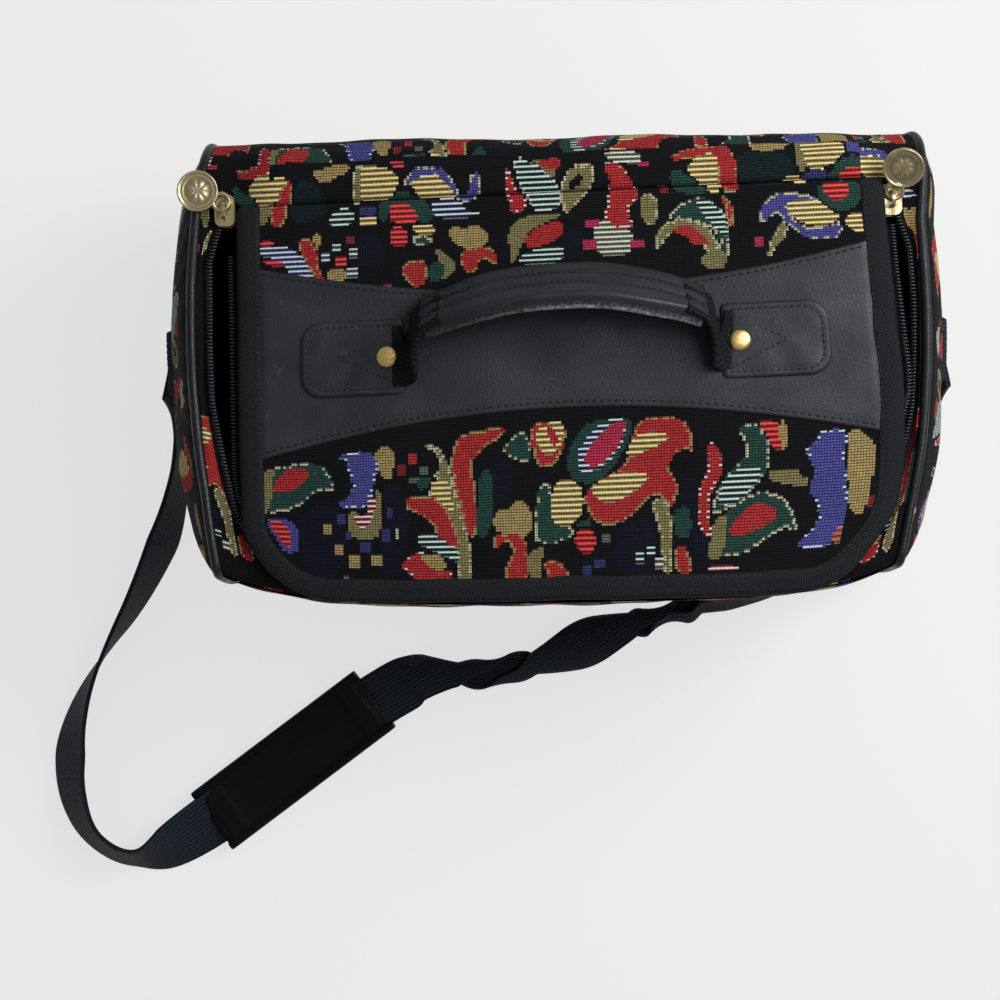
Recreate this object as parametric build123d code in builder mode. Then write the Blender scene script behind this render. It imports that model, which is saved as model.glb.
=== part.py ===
"""Soft tapestry train case with a zip-round lid, a carry handle and a shoulder strap.

Millimetres. The origin is the middle of the base, +X runs to the right end,
the front faces -Y and +Z is up.
"""
import math
import os

from build123d import *

os.makedirs("parts", exist_ok=True)

# Case shell
wrap_length = 324.6  # front, back and base cloth, between the piped seams
case_height = 157.0  # base to the top of the gussets
base_depth = 192.0  # front to back along the base
top_depth = 205.0  # front to back along the top
wall_belly = 8.0  # how far the front and back walls swell between base and top
wall = 3.0  # tapestry with its padding
base_edge_radius = 14.0
back_edge_radius = 24.0
front_edge_radius = 6.0
front_pull = 14.0  # the front's corners are drawn back by this much at the ends
station_shares = (-1.0, -0.62, 0.0, 0.62, 1.0)  # places along the case, as shares of half its length
pull_shares = (1.0, 0.14, 0.0, 0.14, 1.0)  # how much of front_pull each place takes
tool_overrun = 40.0  # how far a cutting shape runs past what it cuts

# End panels and piping
piping_radius = 2.2
piping_sink = 1.2  # the piping's middle lies this far inside the case outline
end_rise_shares = (0.0, 0.22, 0.48, 0.78, 1.0)  # height of each ring of the pillow, as shares of end_bulge
end_inset_shares = (0.0, 0.038, 0.14, 0.318, 0.56)  # how far in each ring lies, as shares of half the height
end_bulge = 13.0
end_corner_growth_share = 0.2  # ring corners grow rounder by this share of the inset

# Lid seam and hinge
seam_inset = 20.35  # hinge line, in front of the case's back edge
seam_gap = 0.3  # open line between the lid and the back strip
seam_rise = 4.8  # back strip swells to the lid's height along the seam
seam_ridge_depth = 12.7  # the swelling runs out this far behind the seam
seam_ridge_inset = 26.3  # the swelling stops this far short of each piped seam

# Zip
coil_radius = 1.3
gusset_width = 9.8  # from the piped seam to the zip opening
coil_front_inset = 3.6  # middle of the case's coil, behind the front edge
coil_pitch_gap = 4.4  # open gap between the middles of the two coils
case_coil_corner = 42.0
tape_thickness = 1.0
tape_lip = 0.8  # tape runs past the middle of its coil by this much
case_tape_depth = 10.3  # from the middle of the coil outwards
lid_tape_depth = 10.3  # from the middle of the coil inwards
gusset_edge_gap = 2.8  # from the middle of the coil to the gusset's edge
case_zip_inset = 4.15  # the case's coil ends this far in front of the hinge line
lid_zip_inset = 21.65
front_notch_inset = 24.0  # the front panel's top edge is cut low, short of the lid's sides by this

# Lid
lid_edge_gap = 3.3  # from the lid's edge to the middle of its coil
lid_front_inset = 1.0  # behind the case's front edge
lid_corner = 40.0
lid_lift = 0.3  # clearance of the lid above the gussets
lid_thickness = 4.5
binding_thickness = 0.8
binding_width = 10.0
lid_lining_thickness = 3.3
lid_lining_inset = 3.0
lid_lining_front_inset = 9.5
lid_lining_corner = 35.0

# Leather on the lid
handle_y = 9.0  # line of the handle, yoke and tabs
yoke_inset = 10.4  # from the lid's edge to the yoke's end
yoke_end_half = 43.0
yoke_middle_half = 26.0
yoke_thickness = 1.2
tab_inset = 17.6  # from the yoke's end to the tab's outer end
tab_length = 45.0
tab_depth = 33.0
tab_thickness = 1.6
tab_round = 9.0
tab_inner_round = 2.0
rivet_inset = 7.5  # from the tab's inner edge
rivet_head_radius = 4.75
rivet_head_height = 1.5
rivet_head_round = 0.9
rivet_shank_radius = 1.6
rivet_hole_radius = 1.65
rivet_back_radius = 4.0
rivet_back_height = 0.8

# Handle
handle_axis_lift = 1.5  # swing line above the yoke
handle_lean = 50.0  # degrees behind upright as it lies
grip_reach = 9.0  # from the tab's inner edge to the grip's end
grip_end_height = 19.0
grip_crest_height = 34.0
grip_width = 21.0
grip_thickness = 9.0
grip_round = 3.2
webbing_root_width = 27.0
webbing_thickness = 2.4
webbing_grip_width = 20.0
webbing_gap = 0.15  # webbing above the yoke

# Slider and pull
slider_inset = 9.15  # middle of the slider, in front of the hinge line
slider_length = 14.0
slider_plate = 1.5
slider_clearance = 0.35
slider_corner = 3.0
slider_lip = 0.9  # plates run past the coils by this much
bail_half_length = 4.0
bail_bar = 1.5
bail_leg = 1.6
eye_outer_radius = 4.4
eye_hole_radius = 2.8
pull_thickness = 1.5
medallion_radius = 9.0
medallion_reach = 11.3  # from the middle of the eye to the middle of the medallion
medallion_rim = 1.2
medallion_relief = 0.35
rosette_radius = 3.4
right_pull_tilt = 30.0  # degrees above level
right_pull_heading = 71.0  # degrees round from +X, back over the strip
right_eye_x = 0.6  # middle of the right eye from the middle of its bail
right_eye_y = 3.5
left_pull_tilt = 6.0
left_pull_heading = 155.0  # out over the gusset
left_eye_x = -1.2
left_eye_y = 3.6

# Lining
lining_gap = 0.2
lining_thickness = 0.8
lining_drop = 7.0  # top edge of the lining below the top of the gussets

# Shoulder strap, its tabs and pad
strap_tab_width = 33.0
strap_tab_height = 36.0
strap_tab_thickness = 2.5
strap_tab_y = 7.0
strap_tab_bottom = 85.0
webbing_width = 28.0
webbing_depth = 1.9
strap_side_gap = 0.4
strap_end_gap = 0.8  # the strap's end below its tab
pad_length = 104.0
pad_width = 36.0
pad_height = 11.6
pad_round = 7.0
pad_edge_round = 3.0
pad_bore_gap = 0.2
turn_share = 0.45  # share of the shorter run that a bend takes up

# Derived lengths
half_wrap = wrap_length / 2
half_height = case_height / 2
half_top_depth = top_depth / 2
half_base_depth = base_depth / 2
belly_depth = (half_base_depth + half_top_depth) / 2 + wall_belly
piping_x = half_wrap + piping_radius
end_x = piping_x + piping_radius
deck_under = case_height - wall
tape_bottom = deck_under - tape_thickness
coil_z = deck_under + coil_radius
lid_bottom = case_height + lid_lift
lid_top = lid_bottom + lid_thickness
yoke_top = lid_top + yoke_thickness
tab_top = yoke_top + tab_thickness
seam_y = half_top_depth - seam_inset
strip_front = seam_y + seam_gap / 2
lid_back = seam_y - seam_gap / 2
gusset_edge = half_wrap - gusset_width
case_coil_half_width = gusset_edge - gusset_edge_gap
case_coil_front = coil_front_inset - half_top_depth
case_zip_back = seam_y - case_zip_inset
lid_zip_back = seam_y - lid_zip_inset
lid_coil_half_width = case_coil_half_width - coil_pitch_gap
lid_coil_front = case_coil_front + coil_pitch_gap
lid_coil_corner = case_coil_corner - coil_pitch_gap
lid_half_width = lid_coil_half_width - lid_edge_gap
lid_front = lid_front_inset - half_top_depth
lid_lining_half = lid_half_width - lid_lining_inset
lid_lining_front = lid_front + lid_lining_front_inset
front_notch_half = lid_half_width - front_notch_inset
yoke_half_length = lid_half_width - yoke_inset
tab_inner_x = yoke_half_length - tab_inset - tab_length
rivet_x = tab_inner_x + rivet_inset
grip_half_span = tab_inner_x - grip_reach
slider_middle_y = seam_y - slider_inset
end_face_x = end_x + end_bulge
handle_axis_z = yoke_top + handle_axis_lift
lining_top = case_height - lining_drop
cord_radius = math.sqrt(webbing_width * webbing_depth / math.pi)
cord_side_x = end_face_x + strap_side_gap + cord_radius
strap_end_z = strap_tab_bottom - strap_end_gap

# Shoulder strap route, from the left tab round the front to the right tab. Each step is how far it lies
# out from the end panel's side, forward of the base and above the floor.
left_steps = [
    (0.6, -100.0, 64.0),
    (1.8, -90.0, 42.0),
    (3.8, -72.0, 25.0),
    (7.3, -50.0, 15.5),
    (12.3, -28.0, 13.0),
    (21.8, -6.0, 13.0),
    (32.8, 15.0, 13.0),
    (45.3, 34.0, 12.5),
    (57.8, 57.0, 12.0),
    (65.3, 82.0, 12.0),
    (65.3, 107.0, 12.0),
    (55.8, 130.0, 12.0),
    (32.8, 143.0, 11.0),
    (5.3, 131.1, 5.8),
    (-101.5, 53.5, 5.8),
]
front_shares = [-0.315, -0.152, 0.0, 0.152, 0.304, 0.445, 0.575, 0.749]  # of the way to the strap's end
front_steps = [
    (49.5, 9.5),
    (49.0, 10.0),
    (41.5, 10.0),
    (29.0, 10.0),
    (20.0, 10.0),
    (16.0, 11.0),
    (12.5, 12.0),
    (3.0, 13.0),
]
right_steps = [
    (-22.5, -0.5, 13.0),
    (-4.6, -14.0, 13.5),
    (2.4, -38.0, 15.0),
    (2.4, -62.0, 23.0),
    (1.3, -84.0, 42.0),
    (0.6, -99.0, 64.0),
]
strap_points = [(-cord_side_x, strap_tab_y, strap_end_z)]
for out, forward, height in left_steps:
    strap_points.append((-cord_side_x - out, -half_base_depth - forward, height))
for share, (forward, height) in zip(front_shares, front_steps):
    strap_points.append((cord_side_x * share, -half_base_depth - forward, height))
for out, forward, height in right_steps:
    strap_points.append((cord_side_x + out, -half_base_depth - forward, height))
strap_points.append((cord_side_x, strap_tab_y, strap_end_z))
pad_start = strap_points[len(left_steps) - 1]
pad_end = strap_points[len(left_steps)]


def case_outline(inset, corner_growth, pull):
    """Case seen from an end, moved inwards, with its corners made rounder and its front drawn back."""
    half_base = half_base_depth - inset
    half_top = half_top_depth - inset
    half_middle = belly_depth - inset
    low = inset
    high = case_height - inset
    with BuildSketch(Plane.YZ) as outline:
        with BuildLine():
            Line((pull - half_base, low), (half_base, low))
            ThreePointArc((half_base, low), (half_middle, half_height), (half_top, high))
            Line((half_top, high), (pull - half_top, high))
            ThreePointArc(
                (pull - half_top, high), (pull - half_middle, half_height), (pull - half_base, low)
            )
        make_face()
        fillet(outline.vertices().group_by(Axis.Y)[0], base_edge_radius + corner_growth)
        back_corner = outline.vertices().group_by(Axis.Y)[-1].sort_by(Axis.X)[-1]
        fillet(back_corner, back_edge_radius + corner_growth)
        front_corner = outline.vertices().group_by(Axis.Y)[-1].sort_by(Axis.X)[0]
        fillet(front_corner, front_edge_radius + corner_growth)
    return outline.sketch


def case_body(inset, half_length):
    """Solid with the case outline, moved inwards, centred on the middle of the case."""
    with BuildPart() as body:
        stations = []
        for station_share, pull_share in zip(station_shares, pull_shares):
            station = case_outline(inset, -inset, front_pull * pull_share)
            stations.append(station.face().moved(Location((half_length * station_share, 0, 0))))
        loft(stations)
    return body.part


def end_pillow(shift):
    """Filled pillow of the right end panel, moved outwards by shift."""
    with BuildPart() as pillow:
        rings = []
        for rise_share, inset_share in zip(end_rise_shares, end_inset_shares):
            inset = inset_share * half_height
            ring = case_outline(inset, inset * end_corner_growth_share, front_pull)
            rings.append(ring.face().moved(Location((end_x + shift + end_bulge * rise_share, 0, 0))))
        loft(rings)
    return pillow.part


def zip_plan(half_width, front, corner, back):
    """Plan bounded by a line that runs round the lid: square at the back, round at the front corners."""
    with BuildSketch() as plan:
        with Locations((0, (front + back) / 2)):
            Rectangle(2 * half_width, back - front)
        fillet(plan.vertices().group_by(Axis.Y)[0], corner)
    return plan.sketch


def coil_tube(half_width, front, corner, back):
    """Round coil along a line round the lid."""
    with BuildPart() as tube:
        with BuildLine(Plane.XY.offset(coil_z)) as track:
            FilletPolyline(
                (-half_width, back),
                (-half_width, front),
                (half_width, front),
                (half_width, back),
                radius=corner,
            )
        with BuildSketch(Plane(track.line @ 0, z_dir=track.line % 0)):
            Circle(coil_radius)
        sweep(path=track.line)
    return tube.part


def pull_on(plane):
    """Medallion with its eye, in one piece, on a plane whose X axis runs from the bail to the medallion."""
    eye_x = (eye_outer_radius + eye_hole_radius) / 2
    medallion_middle = eye_x + medallion_reach
    with BuildPart() as pull:
        with BuildSketch(plane.offset(-pull_thickness / 2)):
            with Locations((eye_x, 0)):
                Circle(eye_outer_radius)
            with Locations((medallion_middle, 0)):
                Circle(medallion_radius)
        extrude(amount=pull_thickness)
        with BuildSketch(plane.offset(pull_thickness / 2)):
            with Locations((medallion_middle, 0)):
                Circle(medallion_radius)
                Circle(medallion_radius - medallion_rim, mode=Mode.SUBTRACT)
                Circle(rosette_radius)
        extrude(amount=medallion_relief)
        with BuildSketch(plane.offset(-pull_thickness)):
            with Locations((eye_x, 0)):
                Circle(eye_hole_radius)
        extrude(amount=2 * pull_thickness + medallion_relief, mode=Mode.SUBTRACT)
    return pull.part


# Shapes that several pieces are cut from
outer_case = case_body(0, half_wrap)
inner_case = case_body(wall, half_wrap)
pillow = end_pillow(0)
pillow_inside = end_pillow(-wall)
pillow_outside = end_pillow(strap_tab_thickness)

with BuildPart() as opening:
    with BuildSketch(Plane.XY.offset(tape_bottom)):
        gusset_front = case_coil_front - gusset_edge_gap
        gusset_corner = case_coil_corner + gusset_edge_gap
        add(zip_plan(gusset_edge, gusset_front, gusset_corner, strip_front))
        with Locations((0, lid_front)):
            Rectangle(2 * front_notch_half, tool_overrun)
    extrude(amount=tool_overrun)

with BuildPart() as wrap:
    add(outer_case)
    add(inner_case, mode=Mode.SUBTRACT)

# Case shell
with BuildPart() as base_panel:
    add(wrap.part)
    Box(
        wrap_length,
        2 * strip_front,
        half_height,
        align=(Align.CENTER, Align.CENTER, Align.MIN),
        mode=Mode.INTERSECT,
    )
    sole_depth = base_depth - 2 * base_edge_radius - front_pull  # the flat part that the bag stands on
    with Locations((0, front_pull / 2, 0)):
        for sole_mode in (Mode.SUBTRACT, Mode.ADD):
            Box(wrap_length, sole_depth, wall, align=(Align.CENTER, Align.CENTER, Align.MIN), mode=sole_mode)
base_panel.part.label = "base_panel"
export_step(base_panel.part, "parts/base_panel.step")

with BuildPart() as front_panel:
    add(wrap.part)
    with Locations((0, -strip_front, 0)):
        Box(
            wrap_length,
            top_depth,
            case_height,
            align=(Align.CENTER, Align.MAX, Align.MIN),
            mode=Mode.INTERSECT,
        )
    add(opening.part, mode=Mode.SUBTRACT)
front_panel.part.label = "front_panel"
export_step(front_panel.part, "parts/front_panel.step")

with BuildPart() as back_panel:
    add(wrap.part)
    with Locations((0, strip_front, 0)):
        Box(
            wrap_length,
            top_depth,
            case_height,
            align=(Align.CENTER, Align.MIN, Align.MIN),
            mode=Mode.INTERSECT,
        )
    with BuildSketch(Plane.YZ) as ridge:
        with BuildLine():
            Polyline(
                (strip_front, case_height - wall / 2),
                (strip_front, case_height + seam_rise),
                (strip_front + seam_ridge_depth, case_height - wall / 2),
                close=True,
            )
        make_face()
    extrude(amount=half_wrap - seam_ridge_inset, both=True)
back_panel.part.label = "back_panel"
export_step(back_panel.part, "parts/back_panel.step")

with BuildPart() as right_gusset:
    add(wrap.part)
    with Locations((0, 0, half_height)):
        Box(
            half_wrap,
            2 * strip_front,
            case_height,
            align=(Align.MIN, Align.CENTER, Align.MIN),
            mode=Mode.INTERSECT,
        )
    add(opening.part, mode=Mode.SUBTRACT)
right_gusset.part.label = "right_gusset"
export_step(right_gusset.part, "parts/right_gusset.step")

with BuildPart() as left_gusset:
    mirror(right_gusset.part, about=Plane.YZ)
left_gusset.part.label = "left_gusset"
export_step(left_gusset.part, "parts/left_gusset.step")

with BuildPart() as right_end_panel:
    add(pillow)
    add(pillow_inside, mode=Mode.SUBTRACT)
right_end_panel.part.label = "right_end_panel"
export_step(right_end_panel.part, "parts/right_end_panel.step")

with BuildPart() as left_end_panel:
    mirror(right_end_panel.part, about=Plane.YZ)
left_end_panel.part.label = "left_end_panel"
export_step(left_end_panel.part, "parts/left_end_panel.step")

with BuildPart() as right_piping:
    ring = case_outline(piping_sink, -piping_sink, front_pull).moved(Location((piping_x, 0, 0)))
    ring_line = ring.face().outer_wire().moved(Location((0, 0, piping_radius - piping_sink)))
    with BuildSketch(Plane(ring_line @ 0, z_dir=ring_line % 0)):
        Circle(piping_radius)
    sweep(path=ring_line)
right_piping.part.label = "right_piping"
export_step(right_piping.part, "parts/right_piping.step")

with BuildPart() as left_piping:
    mirror(right_piping.part, about=Plane.YZ)
left_piping.part.label = "left_piping"
export_step(left_piping.part, "parts/left_piping.step")

with BuildPart() as lining:
    add(case_body(wall + lining_gap, half_wrap))
    add(case_body(wall + lining_gap + lining_thickness, half_wrap - lining_thickness), mode=Mode.SUBTRACT)
    Box(
        wrap_length,
        top_depth,
        lining_top,
        align=(Align.CENTER, Align.CENTER, Align.MIN),
        mode=Mode.INTERSECT,
    )
lining.part.label = "lining"
export_step(lining.part, "parts/lining.step")

# Case side of the zip
with BuildPart() as zip_tape_case:
    tape_out = case_coil_half_width + case_tape_depth
    tape_in = case_coil_half_width - tape_lip
    with BuildSketch(Plane.XY.offset(tape_bottom)):
        add(zip_plan(tape_out, lid_front, case_coil_corner + case_tape_depth, case_zip_back))
        add(
            zip_plan(tape_in, case_coil_front + tape_lip, case_coil_corner - tape_lip, case_zip_back),
            mode=Mode.SUBTRACT,
        )
    extrude(amount=tape_thickness)
    add(front_panel.part, mode=Mode.SUBTRACT)
zip_tape_case.part.label = "zip_tape_case"
export_step(zip_tape_case.part, "parts/zip_tape_case.step")

with BuildPart() as zip_coil_case:
    add(coil_tube(case_coil_half_width, case_coil_front, case_coil_corner, case_zip_back))
zip_coil_case.part.label = "zip_coil_case"
export_step(zip_coil_case.part, "parts/zip_coil_case.step")

# Lid
with BuildPart() as rivet_holes:
    with BuildSketch(Plane.XY.offset(deck_under)):
        with Locations((rivet_x, handle_y), (-rivet_x, handle_y)):
            Circle(rivet_hole_radius)
    extrude(amount=tool_overrun)

with BuildPart() as lid_panel:
    panel_half = lid_half_width - binding_thickness
    panel_front = lid_front + binding_thickness
    panel_corner = lid_corner - binding_thickness
    with BuildSketch(Plane.XY.offset(lid_bottom)):
        add(zip_plan(panel_half, panel_front, panel_corner, lid_back))
    extrude(amount=lid_thickness)
    add(rivet_holes.part, mode=Mode.SUBTRACT)
lid_panel.part.label = "lid_panel"
export_step(lid_panel.part, "parts/lid_panel.step")

with BuildPart() as lid_binding:
    with BuildSketch(Plane.XY.offset(lid_bottom)):
        add(zip_plan(lid_half_width, lid_front, lid_corner, lid_back))
        add(zip_plan(panel_half, panel_front, panel_corner, lid_back), mode=Mode.SUBTRACT)
    extrude(amount=lid_thickness)
    with BuildSketch(Plane.XY.offset(lid_top)):
        add(zip_plan(lid_half_width, lid_front, lid_corner, lid_back))
        hem_half = lid_half_width - binding_width
        hem_front = lid_front + binding_width
        hem_corner = lid_corner - binding_width
        add(zip_plan(hem_half, hem_front, hem_corner, lid_back), mode=Mode.SUBTRACT)
    extrude(amount=binding_thickness)
lid_binding.part.label = "lid_binding"
export_step(lid_binding.part, "parts/lid_binding.step")

with BuildPart() as lid_lining:
    with BuildSketch(Plane.XY.offset(lid_bottom - lid_lining_thickness)):
        add(zip_plan(lid_lining_half, lid_lining_front, lid_lining_corner, lid_back))
    extrude(amount=lid_lining_thickness)
    add(rivet_holes.part, mode=Mode.SUBTRACT)
lid_lining.part.label = "lid_lining"
export_step(lid_lining.part, "parts/lid_lining.step")

with BuildPart() as zip_tape_lid:
    lid_tape_out = lid_coil_half_width + tape_lip
    lid_tape_in = lid_coil_half_width - lid_tape_depth
    with BuildSketch(Plane.XY.offset(tape_bottom)):
        add(zip_plan(lid_tape_out, lid_coil_front - tape_lip, lid_coil_corner + tape_lip, lid_zip_back))
        inner_front = lid_coil_front + lid_tape_depth
        inner_corner = lid_coil_corner - lid_tape_depth
        add(zip_plan(lid_tape_in, inner_front, inner_corner, lid_zip_back), mode=Mode.SUBTRACT)
    extrude(amount=tape_thickness)
zip_tape_lid.part.label = "zip_tape_lid"
export_step(zip_tape_lid.part, "parts/zip_tape_lid.step")

with BuildPart() as zip_coil_lid:
    add(coil_tube(lid_coil_half_width, lid_coil_front, lid_coil_corner, lid_zip_back))
zip_coil_lid.part.label = "zip_coil_lid"
export_step(zip_coil_lid.part, "parts/zip_coil_lid.step")

with BuildPart() as lid_yoke:
    with BuildSketch(Plane.XY.offset(lid_top)):
        with BuildLine():
            ThreePointArc(
                (-yoke_half_length, handle_y + yoke_end_half),
                (0, handle_y + yoke_middle_half),
                (yoke_half_length, handle_y + yoke_end_half),
            )
            Line((yoke_half_length, handle_y + yoke_end_half), (yoke_half_length, handle_y - yoke_end_half))
            ThreePointArc(
                (yoke_half_length, handle_y - yoke_end_half),
                (0, handle_y - yoke_middle_half),
                (-yoke_half_length, handle_y - yoke_end_half),
            )
            Line((-yoke_half_length, handle_y - yoke_end_half), (-yoke_half_length, handle_y + yoke_end_half))
        make_face()
    extrude(amount=yoke_thickness)
    add(rivet_holes.part, mode=Mode.SUBTRACT)
lid_yoke.part.label = "lid_yoke"
export_step(lid_yoke.part, "parts/lid_yoke.step")

with BuildPart() as right_handle_tab:
    with BuildSketch(Plane.XY.offset(yoke_top)) as tab_plan:
        with Locations((tab_inner_x + tab_length / 2, handle_y)):
            Rectangle(tab_length, tab_depth)
        fillet(tab_plan.vertices().group_by(Axis.X)[-1], tab_round)
        fillet(tab_plan.vertices().group_by(Axis.X)[0], tab_inner_round)
    extrude(amount=tab_thickness)
    add(rivet_holes.part, mode=Mode.SUBTRACT)
right_handle_tab.part.label = "right_handle_tab"
export_step(right_handle_tab.part, "parts/right_handle_tab.step")

with BuildPart() as left_handle_tab:
    mirror(right_handle_tab.part, about=Plane.YZ)
left_handle_tab.part.label = "left_handle_tab"
export_step(left_handle_tab.part, "parts/left_handle_tab.step")

with BuildPart() as handle_rivets:
    rivet_spots = [(rivet_x, handle_y), (-rivet_x, handle_y)]
    with BuildSketch(Plane.XY.offset(tab_top)):
        with Locations(*rivet_spots):
            Circle(rivet_head_radius)
    extrude(amount=rivet_head_height)
    fillet(handle_rivets.edges().group_by(Axis.Z)[-1], rivet_head_round)
    lining_under = lid_bottom - lid_lining_thickness
    with BuildSketch(Plane.XY.offset(lining_under)):
        with Locations(*rivet_spots):
            Circle(rivet_shank_radius)
    extrude(amount=tab_top - lining_under)
    with BuildSketch(Plane.XY.offset(lining_under - rivet_back_height)):
        with Locations(*rivet_spots):
            Circle(rivet_back_radius)
    extrude(amount=rivet_back_height)
handle_rivets.part.label = "handle_rivets"
export_step(handle_rivets.part, "parts/handle_rivets.step")

# Handle, drawn on its own leaning plane: X along the case, Y away from the swing line
lean_sin = math.sin(math.radians(handle_lean))
lean_cos = math.cos(math.radians(handle_lean))
handle_plane = Plane((0, handle_y, handle_axis_z), x_dir=(1, 0, 0), z_dir=(0, -lean_cos, lean_sin))
grip_rise = grip_crest_height - grip_end_height
grip_radius = (grip_half_span**2 + grip_rise**2) / (2 * grip_rise)
grip_centre = grip_crest_height - grip_radius
grip_slope = math.asin(grip_half_span / grip_radius)
grip_end_sin = math.sin(grip_slope)
grip_end_cos = math.cos(grip_slope)


def grip_point(radius, slope_share):
    """Point on an arc that shares the grip's middle, at a share of the way from crest to end."""
    slope = grip_slope * slope_share
    return (radius * math.sin(slope), grip_centre + radius * math.cos(slope))


grip_outer = grip_radius + grip_thickness / 2
grip_inner = grip_radius - grip_thickness / 2
with BuildPart() as handle_grip:
    with BuildSketch(handle_plane):
        with BuildLine():
            ThreePointArc(grip_point(grip_outer, -1), grip_point(grip_outer, 0), grip_point(grip_outer, 1))
            Line(grip_point(grip_outer, 1), grip_point(grip_inner, 1))
            ThreePointArc(grip_point(grip_inner, 1), grip_point(grip_inner, 0), grip_point(grip_inner, -1))
            Line(grip_point(grip_inner, -1), grip_point(grip_outer, -1))
        make_face()
    extrude(amount=grip_width / 2, both=True)
    fillet(handle_grip.edges().filter_by(GeomType.CIRCLE), grip_round)
handle_grip.part.label = "handle_grip"
export_step(handle_grip.part, "parts/handle_grip.step")

with BuildPart() as right_handle_webbing:
    root_z = yoke_top + webbing_gap + webbing_thickness / 2
    root_plane = Plane((tab_inner_x, handle_y, root_z), x_dir=(0, 1, 0), z_dir=(-1, 0, 0))
    end_middle = grip_point(grip_radius, 1)
    end_plane = Plane(
        handle_plane.from_local_coords((end_middle[0], end_middle[1], 0)),
        x_dir=(0, lean_cos, -lean_sin),
        z_dir=handle_plane.from_local_coords(Vector(-grip_end_cos, grip_end_sin, 0)) - handle_plane.origin,
    )
    with BuildSketch(root_plane):
        Rectangle(webbing_root_width, webbing_thickness)
    with BuildSketch(end_plane):
        Rectangle(webbing_grip_width, webbing_thickness)
    loft()
right_handle_webbing.part.label = "right_handle_webbing"
export_step(right_handle_webbing.part, "parts/right_handle_webbing.step")

with BuildPart() as left_handle_webbing:
    mirror(right_handle_webbing.part, about=Plane.YZ)
left_handle_webbing.part.label = "left_handle_webbing"
export_step(left_handle_webbing.part, "parts/left_handle_webbing.step")

# Sliders
slider_x = (case_coil_half_width + lid_coil_half_width) / 2
slider_half = coil_pitch_gap / 2 + coil_radius + slider_lip
keel_width = coil_pitch_gap - 2 * (coil_radius + slider_clearance)
slider_top = deck_under + 2 * coil_radius + slider_clearance
slider_floor = tape_bottom - slider_clearance
bail_base = slider_top + slider_plate
bail_middle = bail_base + bail_leg
with BuildPart() as right_slider:
    with BuildSketch(Plane.XY.offset(slider_top)) as plate_plan:
        with Locations((slider_x, slider_middle_y)):
            Rectangle(2 * slider_half, slider_length)
        fillet(plate_plan.vertices(), slider_corner)
    extrude(amount=slider_plate)
    with BuildSketch(Plane.XY.offset(slider_floor - slider_plate)) as floor_plan:
        with Locations((slider_x, slider_middle_y)):
            Rectangle(2 * slider_half, slider_length)
        fillet(floor_plan.vertices(), slider_corner)
    extrude(amount=slider_plate)
    with BuildSketch(Plane.XY.offset(slider_floor)):
        with Locations((slider_x, slider_middle_y)):
            Rectangle(keel_width, slider_length - slider_corner)
    extrude(amount=slider_top - slider_floor)
    with BuildSketch(Plane.YZ.offset(slider_x)):
        with Locations((slider_middle_y, bail_middle)):
            Circle(bail_half_length)
        with Locations((slider_middle_y, bail_base + bail_leg / 2)):
            Rectangle(2 * bail_half_length, bail_leg)
        with Locations((slider_middle_y, bail_middle)):
            Circle(bail_half_length - bail_bar, mode=Mode.SUBTRACT)
        with Locations((slider_middle_y, bail_base)):
            Rectangle(2 * (bail_half_length - bail_bar), 2 * bail_leg, mode=Mode.SUBTRACT)
            Rectangle(
                2 * slider_length, tool_overrun, align=(Align.CENTER, Align.MAX), mode=Mode.SUBTRACT
            )
    extrude(amount=bail_bar / 2, both=True)
right_slider.part.label = "right_slider"
export_step(right_slider.part, "parts/right_slider.step")

with BuildPart() as left_slider:
    mirror(right_slider.part, about=Plane.YZ)
left_slider.part.label = "left_slider"
export_step(left_slider.part, "parts/left_slider.step")

# Pulls: each eye goes round the back leg of its bail, and the medallion lies away from the lid
def pull_plane(side_x, eye_x, eye_y, heading, tilt):
    """Plane of a pull, starting where its eye passes under the bail."""
    tilt_sin = math.sin(math.radians(tilt))
    tilt_cos = math.cos(math.radians(tilt))
    heading_x = math.cos(math.radians(heading))
    heading_y = math.sin(math.radians(heading))
    eye_reach = (eye_outer_radius + eye_hole_radius) / 2
    start = (
        side_x + eye_x - eye_reach * heading_x,
        slider_middle_y + eye_y - eye_reach * heading_y,
        bail_middle,
    )
    along = (heading_x * tilt_cos, heading_y * tilt_cos, tilt_sin)
    upward = (-heading_x * tilt_sin, -heading_y * tilt_sin, tilt_cos)
    return Plane(start, x_dir=along, z_dir=upward)


right_pull_plane = pull_plane(slider_x, right_eye_x, right_eye_y, right_pull_heading, right_pull_tilt)
left_pull_plane = pull_plane(-slider_x, left_eye_x, left_eye_y, left_pull_heading, left_pull_tilt)

with BuildPart() as right_pull:
    add(pull_on(right_pull_plane))
right_pull.part.label = "right_pull"
export_step(right_pull.part, "parts/right_pull.step")

with BuildPart() as left_pull:
    add(pull_on(left_pull_plane))
left_pull.part.label = "left_pull"
export_step(left_pull.part, "parts/left_pull.step")

# Strap tabs
with BuildPart() as right_strap_tab:
    with BuildSketch(Plane.YZ.offset(end_x)):
        with Locations((strap_tab_y, strap_tab_bottom + strap_tab_height / 2)):
            Rectangle(strap_tab_width, strap_tab_height)
    extrude(amount=tool_overrun)
    add(pillow_outside, mode=Mode.INTERSECT)
    add(pillow, mode=Mode.SUBTRACT)
right_strap_tab.part.label = "right_strap_tab"
export_step(right_strap_tab.part, "parts/right_strap_tab.step")

with BuildPart() as left_strap_tab:
    mirror(right_strap_tab.part, about=Plane.YZ)
left_strap_tab.part.label = "left_strap_tab"
export_step(left_strap_tab.part, "parts/left_strap_tab.step")

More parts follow.
